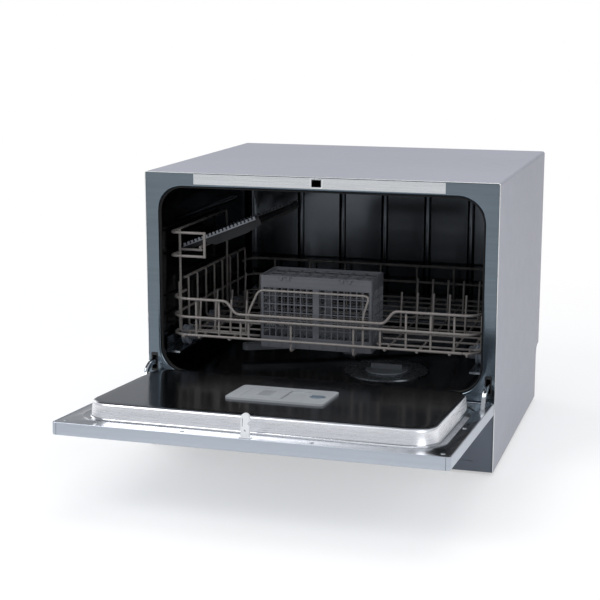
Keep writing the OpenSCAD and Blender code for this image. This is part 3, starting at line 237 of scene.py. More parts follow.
NODE_LOOKS = {
    "outer_wrap": "paint", "back_panel": "zinc", "service_panel": "zinc", "base_tray": "tray",
    "front_control_panel": "panel", "display_window": "window", "control_board": "board",
    "front_frame": "frame", "latch_trim": "strip", "latch_housing": "black", "tub": "tub",
    "door_gasket": "gasket", "rack_track_left": "track", "rack_track_right": "track",
    "hinge_brackets": "zinc", "hinge_pins": "chrome", "hinge_slot_bezels": "black",
    "filter_plate": "plate", "spray_riser": "spray", "sump": "tray", "wash_pump": "pump",
    "drain_pump": "pump", "water_heater": "zinc", "inlet_valve": "white", "drain_spigot": "white",
    "cord_gland": "black", "air_break_tank": "white", "sound_insulation": "felt", "feet": "rubber",
    "case_screws": "chrome", "door_outer_panel": "door", "door_liner": "liner", "door_grip": "black",
    "latch_hook": "hook", "hinge_arms": "chrome", "dispenser_body": "grey", "dispenser_lid": "grey",
    "rinse_aid_cap": "cap", "rack_floor": "coat", "rack_front": "coat", "rack_rear": "coat",
    "rack_side_left": "coat", "rack_side_right": "coat", "rack_tines": "coat", "cup_guard": "coat",
    "wheel_clips": "clip", "cup_shelf": "shelf", "cutlery_basket": "basket",
    "cutlery_basket_grid": "basket", "spray_arm": "spray", "filter_cup": "spray",
}




def paint_node(obj, look):
    """Gives a CAD node its look, with smooth faces and sharp edges."""
    obj.data.materials.clear()
    obj.data.materials.append(LOOKS[look].material)
    obj.data.shade_smooth()
    obj.data.set_sharp_from_angle(angle=SHARP_ANGLE)


for name, obj in NODES.items():
    if name in NODE_LOOKS:
        paint_node(obj, NODE_LOOKS[name])
    else:
        paint_node(obj, "wheel" if name.startswith("wheel_") else "button")

# ---- building pieces ----


def rounded_loop(cx, cy, w, h, r, z, steps=8):
    """A rounded rectangle as a closed loop of points at height z."""
    least = 0.001
    r = max(min(r, w / 2 - least, h / 2 - least), least)
    loop = []
    for sx, sy, start in ((1, 1, 0), (-1, 1, 90), (-1, -1, 180), (1, -1, 270)):
        x, y = cx + sx * (w / 2 - r), cy + sy * (h / 2 - r)
        for k in range(steps + 1):
            a = math.radians(start + 90 * k / steps)
            loop.append(Vector((x + r * math.cos(a), y + r * math.sin(a), z)))
    return loop


def front_ring(x, z, w, h, r, y, steps=8):
    """A rounded rectangle that faces the front: its middle, width, height, corner radius and depth."""
    return [Vector((p.x, y, p.y)) for p in rounded_loop(x, z, w, h, r, y, steps)]


class Solid:
    """Collects the points and faces of a piece, in millimetres."""

    def __init__(self):
        self.verts, self.faces = [], []

    def grid(self, loops, closed=True, caps=False):
        """Joins loops with the same number of points into a skin, with or without its two ends."""
        n = len(loops[0])
        base = len(self.verts)
        for loop in loops:
            self.verts += [Vector(p) for p in loop]
        for i in range(len(loops) - 1):
            for j in range(n if closed else n - 1):
                a, b = base + i * n + j, base + i * n + (j + 1) % n
                self.faces.append((a, b, b + n, a + n))
        if caps:
            last = base + (len(loops) - 1) * n
            self.faces.append(tuple(base + j for j in reversed(range(n))))
            self.faces.append(tuple(last + j for j in range(n)))
        return self

    def block(self, x, y, z, edge=0.0):
        """A block with chamfered edges, from its limits along x, y and z."""
        loops = []
        for height, inset in ((z[0], edge), (z[0] + edge, 0), (z[1] - edge, 0), (z[1], edge)):
            w, h = x[1] - x[0] - 2 * inset, y[1] - y[0] - 2 * inset
            corner = max(edge - inset * 0.5, 0.01)
            loops.append(rounded_loop((x[0] + x[1]) / 2, (y[0] + y[1]) / 2, w, h, corner, height, 3))
        return self.grid(loops, caps=True)

    def lathe(self, profile, centre, axis="Z", steps=32):
        """A turned shape: profile is a list of (radius, distance along the axis)."""
        loops = []
        for r, h in profile:
            loop = []
            for k in range(steps):
                a = 2 * math.pi * k / steps
                u, v = r * math.cos(a), r * math.sin(a)
                loop.append({"Z": (u, v, h), "X": (h, u, v), "Y": (v, h, u)}[axis])
            loops.append([Vector(p) + Vector(centre) for p in loop])
        return self.grid(loops, caps=True)

    def tube(self, path, r, sides=10, round_ends=True):
        """A round wire along a path, with flat ends or with domes that stay within its length."""
        points = [Vector(path[0])]
        for p in path[1:]:
            if (Vector(p) - points[-1]).length > 0.001:
                points.append(Vector(p))
        last = len(points) - 1
        tangents = [(points[min(i + 1, last)] - points[max(i - 1, 0)]).normalized() for i in range(last + 1)]
        if round_ends:
            points[0] = points[0] + tangents[0] * r
            points[last] = points[last] - tangents[last] * r
        up = Vector((0, 0, 1)) if abs(tangents[0].z) < 0.9 else Vector((1, 0, 0))
        across = tangents[0].cross(up).normalized()
        frames = []
        for tangent in tangents:
            across = (across - tangent * across.dot(tangent)).normalized()
            frames.append((across, tangent.cross(across)))

        def ring(centre, axes, radius):
            turns = [2 * math.pi * k / sides for k in range(sides)]
            return [centre + (axes[0] * math.cos(t) + axes[1] * math.sin(t)) * radius for t in turns]

        def dome(i, outward, angles):
            return [ring(points[i] + tangents[i] * outward * r * math.sin(math.radians(a)), frames[i],
                         r * math.cos(math.radians(a))) for a in angles]

        loops = [ring(p, axes, r) for p, axes in zip(points, frames)]
        if round_ends:
            loops = dome(0, -1, (75, 50, 25)) + loops + dome(last, 1, (25, 50, 75))
        return self.grid(loops, caps=True)

    def ball(self, centre, radii, sides=10, rings=6):
        """A rounded lump with flattened poles."""
        loops = []
        for i in range(1, rings):
            a = math.pi * i / rings
            u, v, height = radii[0] * math.sin(a), radii[1] * math.sin(a), -radii[2] * math.cos(a)
            turns = [2 * math.pi * k / sides for k in range(sides)]
            loops.append([Vector(centre) + Vector((u * math.cos(t), v * math.sin(t), height)) for t in turns])
        return self.grid(loops, caps=True)


def mesh_of(solid, name):
    """The solid's mesh in metres, with its faces turned outwards."""
    mesh = bpy.data.meshes.new(name)
    mesh.from_pydata([tuple(v / 1000) for v in solid.verts], [], solid.faces)
    bm = bmesh.new()
    bm.from_mesh(mesh)
    bmesh.ops.remove_doubles(bm, verts=bm.verts, dist=1e-6)
    bmesh.ops.recalc_face_normals(bm, faces=bm.faces)
    bm.to_mesh(mesh)
    bm.free()
    return mesh


def carve(obj, solid):
    """Takes a closed solid away from an object."""
    tool = bpy.data.objects.new("cutter", mesh_of(solid, "cutter"))
    bpy.context.collection.objects.link(tool)
    modifier = obj.modifiers.new("cut", "BOOLEAN")
    modifier.operation = "DIFFERENCE"
    modifier.solver = "EXACT"
    modifier.object = tool
    graph = bpy.context.evaluated_depsgraph_get()
    carved = bpy.data.meshes.new_from_object(obj.evaluated_get(graph))
    obj.modifiers.remove(modifier)
    obj.data = carved
    bpy.data.objects.remove(tool)


def piece(name, solid, look, body, replaces=(), cutters=(), place=IN_CABINET, more=()):
    """A mesh piece that rides on a body and stands for the named CAD nodes.

    more is a list of other looks, each with a test on a face's centre and normal for the faces that take it.
    """
    obj = bpy.data.objects.new(name, mesh_of(solid, name))
    bpy.context.collection.objects.link(obj)
    for cutter in cutters:
        carve(obj, cutter)
    paint_node(obj, look)
    for index, (other, test) in enumerate(more, 1):
        obj.data.materials.append(LOOKS[other].material)
        for face in obj.data.polygons:
            if test(face.center * 1000, face.normal):
                face.material_index = index
    obj.data.transform(place)
    if replaces:
        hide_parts(*replaces)
    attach(obj, body)


def bent(points, bend, steps=5):
    """The path with its inner corners rounded."""
    pts = [Vector(p) for p in points]
    path = [pts[0]]
    for i in range(1, len(pts) - 1):
        a, b, c = pts[i - 1], pts[i], pts[i + 1]
        d = min(bend, (a - b).length * 0.48, (c - b).length * 0.48)
        p, q = b + (a - b).normalized() * d, b + (c - b).normalized() * d
        for k in range(steps + 1):
            t = k / steps
            path.append(p * (1 - t) ** 2 + b * 2 * t * (1 - t) + q * t * t)
    path.append(pts[-1])
    return path


def soften(node, width):
    """Small round edges on a carried-over CAD node."""
    m = NODES[node].modifiers.new("edge", "BEVEL")
    m.width = width / 1000
    m.segments = 2
    m.limit_method = "ANGLE"
    m.angle_limit = math.radians(35)
    m.harden_normals = False


# ---- the rack's wires ----
RAIL, THIN, GAP = 2.2, 1.8, 0.05
LAYER = RAIL + THIN + GAP
RACK_X = round(high("rack_side_right", "x") - RAIL, 3)
RACK_FRONT = round(behind(low("rack_side_right", "y")) + RAIL, 3)
RACK_REAR = round(behind(high("rack_side_right", "y")) - RAIL, 3)
RAIL_LOW = round(low("rack_side_right", "z") + RAIL, 3)
RAIL_TOP = round(high("rack_side_right", "z") - RAIL, 3)
RAIL_HIGH = round(high("rack_side_left", "z") - RAIL, 3)
RAIL_MID = (RAIL_LOW + RAIL_TOP) / 2
RAIL_DIP = 20
CORNER = 28.0
FLOOR_Z = RAIL_LOW - LAYER
CROSS_Z = FLOOR_Z + 2 * THIN + GAP
FLOOR_PITCH = 50.0
CARRIER_X = round(low("wheel_front_right", "x") - 7, 3)
CARRIER_Z = CROSS_Z - THIN - GAP - RAIL
UPRIGHT_X = RACK_X - LAYER
WHEEL_SETBACK, WHEEL_PITCH = 49, 121
UPRIGHTS = [RACK_FRONT + WHEEL_SETBACK + (i - 0.5) * WHEEL_PITCH / 3 for i in range(9)]
BASKET_LEFT, BASKET_RIGHT = low("cutlery_basket", "x"), high("cutlery_basket", "x")
BASKET_FRONT, BASKET_REAR = behind(low("cutlery_basket", "y")), behind(high("cutlery_basket", "y"))
BASKET_BASE, BASKET_RIM = low("cutlery_basket", "z"), round(high("cutlery_basket", "z"), 3)
WELL_LEFT, WELL_RIGHT, WELL_REAR = BASKET_LEFT - 4, BASKET_RIGHT + 4, BASKET_REAR + 6


def rail(solid, points, r=RAIL, bend=0.0, ends=True):
    """A wire through points, with its corners rounded and its ends domed or flat."""
    solid.tube(bent(points, bend) if bend else points, r, 12, ends)


def weld(solid, x, y, z, r=2.4):
    """The swollen coat where two wires cross."""
    solid.ball((x, y, z), (r, r, r), 8, 5)


def over_well(x):
    """Whether a long floor wire has to stop behind the basket's well."""
    return WELL_LEFT < x < WELL_RIGHT


def rack_floor():
    """Long wires with others across them, a carrying rail on each side and a well for the basket."""
    s = Solid()
    cradle_z = BASKET_BASE - 0.3 - THIN
    columns = [i * FLOOR_PITCH for i in range(-4, 5)]
    for x in columns:
        if abs(x) == FLOOR_PITCH:
            y = RACK_FRONT + LAYER
            rail(s, [(x, y, RAIL_MID), (x, y, cradle_z), (x, WELL_REAR, cradle_z), (x, WELL_REAR, FLOOR_Z),
                     (x, RACK_REAR, FLOOR_Z)], THIN, 4)
        else:
            start = WELL_REAR + 4 if over_well(x) else RACK_FRONT
            rail(s, [(x, start, FLOOR_Z), (x, RACK_REAR, FLOOR_Z)], THIN)
    for x in (-CARRIER_X, CARRIER_X):
        rail(s, [(x, RACK_FRONT, CARRIER_Z), (x, RACK_REAR, CARRIER_Z)])
        for y in (RACK_FRONT, RACK_REAR):
            weld(s, x, y, (CARRIER_Z + RAIL_LOW) / 2, 2.7)
    cross_end = UPRIGHT_X - 9
    spans = []
    for y in UPRIGHTS:
        if y > WELL_REAR:
            spans.append((-cross_end, cross_end, y))
        else:
            spans += [(-cross_end, WELL_LEFT, y), (WELL_RIGHT, cross_end, y)]
    for x0, x1, y in spans:
        rail(s, [(x0, y, CROSS_Z), (x1, y, CROSS_Z)], THIN)
        for x in columns:
            if x0 < x < x1:
                weld(s, x, y, (FLOOR_Z + CROSS_Z) / 2, 2.2)
        for x in (-CARRIER_X, CARRIER_X):
            if x0 < x < x1:
                weld(s, x, y, (CARRIER_Z + CROSS_Z) / 2, 2.4)
    for x in columns:
        for y in (RACK_FRONT, RACK_REAR):
            if y == RACK_REAR or not over_well(x):
                weld(s, x, y, (FLOOR_Z + RAIL_LOW) / 2 - 0.3, 2.5)
    piece("rack_floor_wires", s, "coat", "rack", ["rack_floor"])


def rack_front():
    """Three rails, the top one with a dip before the basket, on short uprights, and the basket's cradle."""
    s = Solid()
    straight = RACK_X - CORNER - GAP
    for z in (RAIL_LOW, RAIL_MID):
        rail(s, [(-straight, RACK_FRONT, z), (straight, RACK_FRONT, z)], RAIL, 0, False)
    dip_left, dip_right, slope = BASKET_LEFT - 35, BASKET_RIGHT + 23, 15
    dip = [(-straight, RAIL_TOP), (dip_left - slope, RAIL_TOP), (dip_left, RAIL_TOP - RAIL_DIP),
           (dip_right, RAIL_TOP - RAIL_DIP), (dip_right + slope, RAIL_TOP), (straight, RAIL_TOP)]
    rail(s, [(x, RACK_FRONT, z) for x, z in dip], RAIL, 7, False)
    y, weld_y = RACK_FRONT + LAYER, RACK_FRONT + LAYER / 2
    for x in (-206, -168, -132, 92, 132, 170, 206):
        levels = [RAIL_LOW, RAIL_MID] + ([] if dip_left <= x <= dip_right else [RAIL_TOP])
        rail(s, [(x, y, FLOOR_Z + THIN + GAP), (x, y, levels[-1])], THIN)
        for z in levels:
            weld(s, x, weld_y, z, 2.3)
    left, right = BASKET_LEFT - 15, BASKET_RIGHT - 11
    peak = RAIL_TOP + 20
    cradle = [(left, RAIL_LOW - 2), (left, RAIL_TOP - 16), (left + 17, peak), (right + 10, peak),
              (right, RAIL_TOP - 12), (right, RAIL_LOW - 2)]
    rail(s, [(x, y, z) for x, z in cradle], THIN, 9)
    for x in (left, right):
        for z in (RAIL_LOW, RAIL_MID, RAIL_TOP - RAIL_DIP):
            weld(s, x, weld_y, z, 2.3)
    piece("rack_front_wires", s, "coat", "rack", ["rack_front"])


def rack_rear():
    """Three rails, with uprights inside them."""
    s = Solid()
    straight = RACK_X - CORNER - GAP
    levels = (RAIL_LOW, RAIL_MID, RAIL_TOP)
    for z in levels:
        rail(s, [(-straight, RACK_REAR, z), (straight, RACK_REAR, z)], RAIL, 0, False)
    y = RACK_REAR - LAYER
    for i in range(-3, 4):
        x = i * 66
        rail(s, [(x, y, FLOOR_Z + THIN + GAP), (x, y, RAIL_TOP)], THIN)
        for z in levels:
            weld(s, x, RACK_REAR - LAYER / 2, z, 2.3)
    piece("rack_rear_wires", s, "coat", "rack", ["rack_rear"])


def quarter_turn(cx, cy, z, start, steps=8):
    """A rail's corner, lying flat, from an angle in degrees."""
    turns = [math.radians(start + 90 * k / steps) for k in range(steps + 1)]
    return [Vector((cx + CORNER * math.cos(a), cy + CORNER * math.sin(a), z)) for a in turns]


def side_rail(s, sign, z, gap=None):
    """One level of a side with its two quarter turns: one smooth wire, or two with a gap between."""
    x = sign * (RACK_X - CORNER)
    front = quarter_turn(x, RACK_FRONT + CORNER, z, 270 if sign > 0 else 180)
    rear = quarter_turn(x, RACK_REAR - CORNER, z, 0 if sign > 0 else 90)
    if sign < 0:
        front.reverse()
        rear.reverse()
    if gap:
        s.tube(front + [Vector((sign * RACK_X, gap[0], z))], RAIL, 12)
        s.tube([Vector((sign * RACK_X, gap[1], z))] + rear, RAIL, 12)
    else:
        s.tube(front + rear, RAIL, 12, False)


def rack_side(sign):
    """The side's rails and uprights. The left side is taller behind its first upright."""
    s = Solid()
    x = sign * UPRIGHT_X
    side_rail(s, sign, RAIL_LOW, (RACK_FRONT + 32, RACK_REAR - 41))
    side_rail(s, sign, RAIL_MID)
    if sign > 0:
        side_rail(s, sign, RAIL_TOP)
        top, step_y = RAIL_TOP, RACK_FRONT
    else:
        side_rail(s, sign, RAIL_TOP, (UPRIGHTS[1], RACK_REAR - 40))
        top, step_y = RAIL_HIGH, UPRIGHTS[1] - 8
        rail(s, [(-RACK_X, step_y, RAIL_HIGH), (-RACK_X, RACK_REAR - CORNER, RAIL_HIGH)], RAIL)
    for y in UPRIGHTS:
        rail(s, [(x - sign * 12, y, CROSS_Z), (x, y, CROSS_Z), (x, y, top)], THIN, 6)
        levels = [RAIL_MID] + ([top] if y >= step_y else [])
        if y in (UPRIGHTS[0], UPRIGHTS[-1]):
            levels.append(RAIL_LOW)
        for z in levels:
            weld(s, sign * (RACK_X - LAYER / 2), y, z, 2.3)
    side = "right" if sign > 0 else "left"
    piece(f"rack_{side}_wires", s, "coat", "rack", [f"rack_side_{side}"])


def rack_tines():
    """Rows of tines that lean back, each row on a wire of its own."""
    s = Solid()
    pitch, tine_height, lean = 26, 62, 0.12

    def row(x0, x1, y, height):
        count = int((x1 - x0) / pitch)
        rail(s, [(x0 - 6, y, CROSS_Z), (x0 + count * pitch + 6, y, CROSS_Z)], THIN)
        base = CROSS_Z + THIN + GAP
        tip_y = y + height * lean
        for i in range(count + 1):
            x = x0 + i * pitch
            rail(s, [(x, y, base - 1), (x, y, base + 10), (x, tip_y, CROSS_Z + height + 1.5)], THIN, 8)
            weld(s, x, y, CROSS_Z + 1.4, 2.4)
            s.ball((x, tip_y, CROSS_Z + height), (2.15, 2.15, 2.4))

    left, right = -RACK_X + 34, RACK_X - 30
    left_y, right_y = RACK_FRONT + 40, RACK_FRONT + 118
    for y in (left_y, left_y + 78):
        row(left, BASKET_LEFT - 10, y, tine_height * 0.8)
    for y in (right_y, right_y + 120):
        row(BASKET_RIGHT + 22, right, y, tine_height)
    row(left + 8, BASKET_RIGHT - 30, right_y + 120, tine_height * 0.9)
    piece("rack_tine_wires", s, "coat", "rack", ["rack_tines"])


SHELF_LENGTH, SHELF_HALF = 148.0, 103.0
SHELF_Z, GUARD_RISE = 302.0, 37.0
SHELF_Y = RACK_FRONT + CORNER + 12 + SHELF_HALF
SHELF_TILT = math.radians(22)
SHELF_UNDER, SHELF_OVER = -2.5, 2.5


def cup_guard():
    """The guard and pivot wires round the cup shelf, on two posts with arms for the rest wire."""
    s = Solid()
    post_x = -RACK_X + 2 * RAIL + GAP
    post_a, post_b = RACK_FRONT + 33, SHELF_Y + SHELF_HALF + 8
    front, inner = RACK_FRONT + 6, -RACK_X + 56
    levels = (SHELF_Z, SHELF_Z + GUARD_RISE)
    for z in levels:
        rail(s, [(inner, front, z), (-RACK_X, front, z), (-RACK_X, post_b + 10, z)], RAIL, 9)
    rail(s, [(inner, front, z) for z in levels], RAIL)
    rest = 42
    rest_x = -RACK_X + rest * math.cos(SHELF_TILT)
    rest_z = SHELF_Z + rest * math.sin(SHELF_TILT) - (SHELF_OVER + 0.3 + RAIL) / math.cos(SHELF_TILT)
    arm_z = rest_z - 2 * RAIL - GAP
    for y in (post_a, post_b):
        rail(s, [(post_x, y, RAIL_LOW - 2), (post_x, y, SHELF_Z + GUARD_RISE + 2)], RAIL)
        rail(s, [(post_x, y, arm_z), (rest_x + 4, y, arm_z)], RAIL)
        for z in (*levels, RAIL_MID):
            weld(s, (post_x - RACK_X) / 2, y, z, 2.5)
        weld(s, post_x, y, arm_z, 2.7)
        weld(s, rest_x, y, (rest_z + arm_z) / 2, 2.5)
    rail(s, [(rest_x, post_a - 3, rest_z), (rest_x, post_b + 3, rest_z)], RAIL)
    for z in levels:
        weld(s, inner, front, z, 2.8)
    piece("cup_guard_wires", s, "coat", "rack", ["cup_guard"])


rack_floor()
rack_front()
rack_rear()
rack_side(1)
rack_side(-1)
rack_tines()
cup_guard()

# ---- the opening, the tub and the front frame ----
OPENING_W, OPENING_H, OPENING_R, OPENING_Z = 508.0, 294.0, 40.0, 269
SHEET = 1.2
TUB_GAP = 2
TUB_BACK = 440
LATCH_Z = 428
ARM_X = 264.5


def quarter(steps):
    """The cosines and sines of a quarter turn in even steps."""
    return [(math.cos(math.pi / 2 * k / steps), math.sin(math.pi / 2 * k / steps)) for k in range(steps + 1)]


def prism(x, z, w, h, r, y0, y1):
    """A rounded block through the thickness, for cutting."""
    return Solid().grid([front_ring(x, z, w, h, r, y) for y in (y0, y1)], caps=True)


def opening_ring(grow, y, steps=8):
    """The opening's outline, made larger all round, at a depth."""
    return front_ring(0, OPENING_Z, OPENING_W + 2 * grow, OPENING_H + 2 * grow, OPENING_R + grow, y, steps)


def front_frame():
    """A pressed frame whose lip rolls into the opening, with the latch slot and the hinge slots."""
    w, bottom, top = 547.2, 110.5, 436.6
    h, z = top - bottom, (top + bottom) / 2
    rings = [front_ring(0, z, w - 1, h - 1, 2.4, SHEET), front_ring(0, z, w, h, 2.8, 0.9),
             front_ring(0, z, w, h, 2.8, 0.4), front_ring(0, z, w - 0.8, h - 0.8, 2.5, 0)]
    roll = 3.2
    rings += [opening_ring(roll * (1 - s), roll * (1 - c)) for c, s in quarter(5)]
    rings += [opening_ring(grow, y) for grow, y in ((0, 11.6), (0.6, 12.2), (1.2, 11.8), (1.2, SHEET))]
    latch_slot = prism(0, LATCH_Z, 16, 11.5, 1.2, -2, 3)
    hinge_slots = [prism(sign * ARM_X, 137.2, 9, 26, 1.4, -2, 3) for sign in (1, -1)]
    skin = Solid().grid(rings + rings[:1])
    piece("front_frame_pressing", skin, "frame", "cabinet", ["front_frame"], [latch_slot, *hinge_slots])


def tub_shell():
    """The deep shell with a round meeting of walls and back, open to the sump and the spray riser."""
    w, h, r = OPENING_W + 2 * TUB_GAP, OPENING_H + 2 * TUB_GAP, OPENING_R + TUB_GAP
    outer = (0, OPENING_Z, w + 2 * SHEET, h + 2 * SHEET, r + SHEET)
    rings = [(*outer, TUB_BACK + SHEET), (*outer, 1.5), (0, OPENING_Z, w, h, r, 1.5),
             (0, OPENING_Z, w - 0.4, h - 0.4, r, 60)]
    bend = 16
    for c, s in quarter(6):
        inset = bend * (1 - c)
        rings.append((0, OPENING_Z, w - 1 - 2 * inset, h - 1 - 2 * inset, max(r - inset, 20),
                      TUB_BACK - bend + bend * s))
    floor = (112, 128)
    sump_hole = Solid().lathe([(45, z) for z in floor], (84, 112, 0), "Z", 48)
    riser_hole = Solid().lathe([(10, z) for z in floor], (0, 221, 0), "Z", 32)
    skin = Solid().grid([front_ring(*ring) for ring in rings], caps=True)
    piece("tub_shell", skin, "tub", "cabinet", ["tub"], [sump_hole, riser_hole])


def tub_ribs():
    """Round ribs on the tub's back, sides and ceiling, each mostly sunk in the wall."""
    s = Solid()
    sink = 5.5
    paths = [[(x, TUB_BACK + sink, 150), (x, TUB_BACK + sink, 388)] for x in (-156, -78, 0, 78, 156)]
    for sign in (1, -1):
        paths += [[(sign * 262.5, 70, z), (sign * 262.5, 380, z)] for z in (245, 352)]
    paths += [[(x, 60, 424.5), (x, 360, 424.5)] for x in (-140, 0, 140)]
    for path in paths:
        s.tube(path, 8.5, 20)
    piece("tub_ribs", s, "tub", "cabinet")


def gasket():
    """The door seal: lips round the inside of the opening."""
    profile = [(0, 3.1), (0, 9.9), (1.2, 10), (2.1, 9.2), (2.1, 8.4), (0.9, 7.6), (2.1, 6.8), (2.1, 6.0),
               (0.9, 5.2), (2.1, 4.4), (2.1, 3.6), (1.2, 3.0), (0, 3.1)]
    clear = 0.2
    loops = [opening_ring(-reach - clear, y, 10) for reach, y in profile]
    piece("door_gasket_lips", Solid().grid(loops), "gasket", "cabinet", ["door_gasket"])


def wrap_edge():
    """The bright cut edge of the wrap all along its front."""
    foot, corner = 5.2, 4.0

    def outline(inset, y):
        x, top, r = HALF_WIDTH - inset, HEIGHT - inset, max(corner - inset, 0.8)
        path = [Vector((-x, y, foot)), Vector((-x, y, top - r))]
        path += [Vector((-x + r - r * c, y, top - r + r * s)) for c, s in quarter(6)[1:]]
        path += [Vector((x - r + r * s, y, top - r + r * c)) for c, s in quarter(6)]
        return path + [Vector((x, y, foot))]

    section = [(1.22, 0.6), (1.22, -0.2), (0.9, -0.45), (0.3, -0.45), (0, -0.2), (0, 0.6)]
    s = Solid().grid([outline(inset, y) for inset, y in section + section[:1]], closed=False)
    n, corners = len(outline(0, 0)), range(len(section))
    s.faces += [tuple(i * n for i in corners), tuple(i * n + n - 1 for i in corners)]
    piece("wrap_front_edge", s, "edge", "cabinet")


# ---- the door ----
DOOR_W, DOOR_H, DOOR_Z, DOOR_R = 550.0, 337.5, 267.25, 4.0
DOOR_FACE, DOOR_GAP = -20.0, -2.4
PAN_W, PAN_H, PAN_R, PAN_Z = OPENING_W - 16, 270.0, 38.0, 265.0
PAN_FACE = 20.8
LINER_BACK = -3.4
FLANGE_TOP = 0.3
ARM_RADIUS, ARM_BAND, ARM_THICK = 35.0, 7.0, 6.0


def hinge_notch(sign):
    """The notch at a lower corner, which clears the front frame while the door swings."""
    x = sign * 263.6
    return Solid().block((x - 6.8, x + 6.8), (-18.4, 3.0), (96.5, 112.0))


def hinge_slot(sign):
    """The slot in the liner that the curved arm passes through."""
    x = sign * ARM_X
    return Solid().block((x - 3.8, x + 3.8), (-6.4, 1.6), (129.2, 143.2))


def door_shell():
    """The outer panel: a tray with a folded inner edge, round front edges and the hole for the grip."""

    def tray(inset, r, y):
        return front_ring(0, DOOR_Z, DOOR_W - 2 * inset, DOOR_H - 2 * inset, r, y)

    rings = [tray(SHEET, 2.8, DOOR_FACE + SHEET), tray(SHEET, 2.8, DOOR_GAP), tray(0.9, 3.1, -2.05),
             tray(0.3, 3.7, -2.05), tray(0, DOOR_R, -2.5)]
    edge = 2.2
    for turn in (0, 22, 45, 67, 90):
        c, s = math.cos(math.radians(turn)), math.sin(math.radians(turn))
        rings.append(tray(edge * (1 - c), DOOR_R - 1.6 * (1 - c), DOOR_FACE + edge * (1 - s)))
    cutters = [hinge_notch(1), hinge_notch(-1), prism(0, 411, 150, 26, 12, DOOR_FACE - 2, DOOR_FACE + 3)]
    skin = Solid().grid(rings, caps=True)
    piece("door_shell", skin, "door", "door", ["door_outer_panel"], cutters, ON_DOOR)


def on_pan_wall(centre, normal):
    """Whether a face of the liner is on the outside of the pan's wall."""
    outward = normal.x * centre.x + normal.z * (centre.z - PAN_Z) > 0
    return centre.y > FLANGE_TOP and abs(normal.y) < 0.72 and outward


def on_flange(centre, _normal):
    """Whether a face of the liner is on the flat rim round the pan."""
    return centre.y < FLANGE_TOP


def door_liner():
    """The stainless inner sheet: a rim with a bead in it, and the raised pan with the dispenser's hole."""

    def pan(grow, y):
        return (0, PAN_Z, PAN_W + grow, PAN_H + grow, PAN_R + grow / 2, y)

    rings = [(0, PAN_Z, 455, 233, 21, PAN_FACE - 1), (0, PAN_Z, 484, 262, 36, PAN_FACE - 6),
             (0, PAN_Z, 489.5, 267.5, 36.7, 0), pan(-2, LINER_BACK)]
    rings += [(0, DOOR_Z, 546.8, 334.7, 2.8, LINER_BACK), (0, DOOR_Z, 546.8, 334.7, 2.8, -2.7),
              (0, DOOR_Z, 546.0, 333.9, 2.4, DOOR_GAP)]
    rings += [pan(grow, y) for grow, y in ((25, -2.4), (24, -2.1), (22.6, -2.0), (21.2, -2.1), (20.2, -2.4))]
    rings += [pan(grow, y) for grow, y in ((5, -2.4), (2.8, -2.1), (1.2, -1.3), (0, 0))]
    draft, edge = 1.4, 5.0
    for c, s in quarter(6):
        rings.append(pan(-2 * (draft + edge * (1 - c)), PAN_FACE - edge + edge * s))
    rings.append((0, PAN_Z, 456, 234, 22, PAN_FACE))
    dispenser_hole = Solid().block((-66.3, 66.3), (12, 30), (PAN_Z - 39.3, PAN_Z + 39.3))
    cutters = [cut(sign) for sign in (1, -1) for cut in (hinge_notch, hinge_slot)]
    skin = Solid().grid([front_ring(*ring) for ring in rings], caps=True)
    # one steel sheet in three colours: the dark liner, the lighter flange and the near-white pan wall carry
    # painted reflections
    piece("door_liner_pressing", skin, "liner", "door", ["door_liner"], [*cutters, dispenser_hole], ON_DOOR,
          [("satin", on_pan_wall), ("flange", on_flange)])


def door_trims():
    """The seams between the shell and its end caps, and the screws along the rim."""
    s = Solid()
    for x in (268.6, -268.6):
        s.block((x - 0.25, x + 0.25), (-19.4, -2.8), (435.6, 436.04))
    piece("door_seams", s, "black", "door", place=ON_DOOR)
    s = Solid()
    for x, z in [(-262, 420), (262, 420), (-262, 270), (262, 270), (-90, 424), (90, 424)]:
        s.lathe([(1.2, 0.7), (1.6, 0.9), (3.1, 0.7), (3.5, 0.0)], (x, DOOR_GAP, z), "Y", 20)
    piece("liner_screws", s, "zinc", "door", place=ON_DOOR)


def hinge_arm_channels():
    """Each arm is a U-shaped channel that curves round the pin, on the leg that holds the door."""
    s = Solid()
    inner, outer = ARM_RADIUS - ARM_BAND / 2, ARM_RADIUS + ARM_BAND / 2
    half, lip, corner = ARM_THICK / 2, 1.1, 0.3
    bed = outer - 1.8
    section = [(-half, inner), (half, inner), (half, outer - corner), (half - corner, outer),
               (half - lip, outer), (half - lip, bed), (lip - half, bed), (lip - half, outer),
               (corner - half, outer), (-half, outer - corner)]
    first, last, steps = 50 - OPEN_ANGLE, 90.0, 30
    turns = [math.radians(first + (last - first) * k / steps) for k in range(steps + 1)]
    hub = [(3.1, -3.0), (6.8, -3.0), (7.0, -2.8), (7.0, 2.8), (6.8, 3.0), (3.1, 3.0)]
    for x, foot_x in ((ARM_X, ARM_X - 9), (-ARM_X, -ARM_X - 3)):
        s.grid([[Vector((x + u, PIN_Y + r * math.cos(a), PIN_Z + r * math.sin(a))) for u, r in section]
                for a in turns], caps=True)
        for side in (x - half, x + half - lip):
            s.block((side, side + lip), (-15.0, -7.0), (109.0, 151.0), 0.4)
        s.block((x - half + 0.5, x + half - 0.5), (-14.9, -9.0), (109.0, 149.0), 0.4)
        s.lathe(hub, (x, PIN_Y, PIN_Z), "X")
        s.block((foot_x, foot_x + 12), (-18.9, -15.0), (124.0, 149.0), 0.5)
    piece("hinge_arm_channels", s, "chrome", "door", ["hinge_arms"], place=ON_DOOR)


# ---- the cup shelf, drawn from its pivot wire ----
ON_SHELF = (IN_CABINET @ Matrix.Translation((-RACK_X / 1000, SHELF_Y / 1000, SHELF_Z / 1000))
            @ Matrix.Rotation(-SHELF_TILT, 4, "Y"))


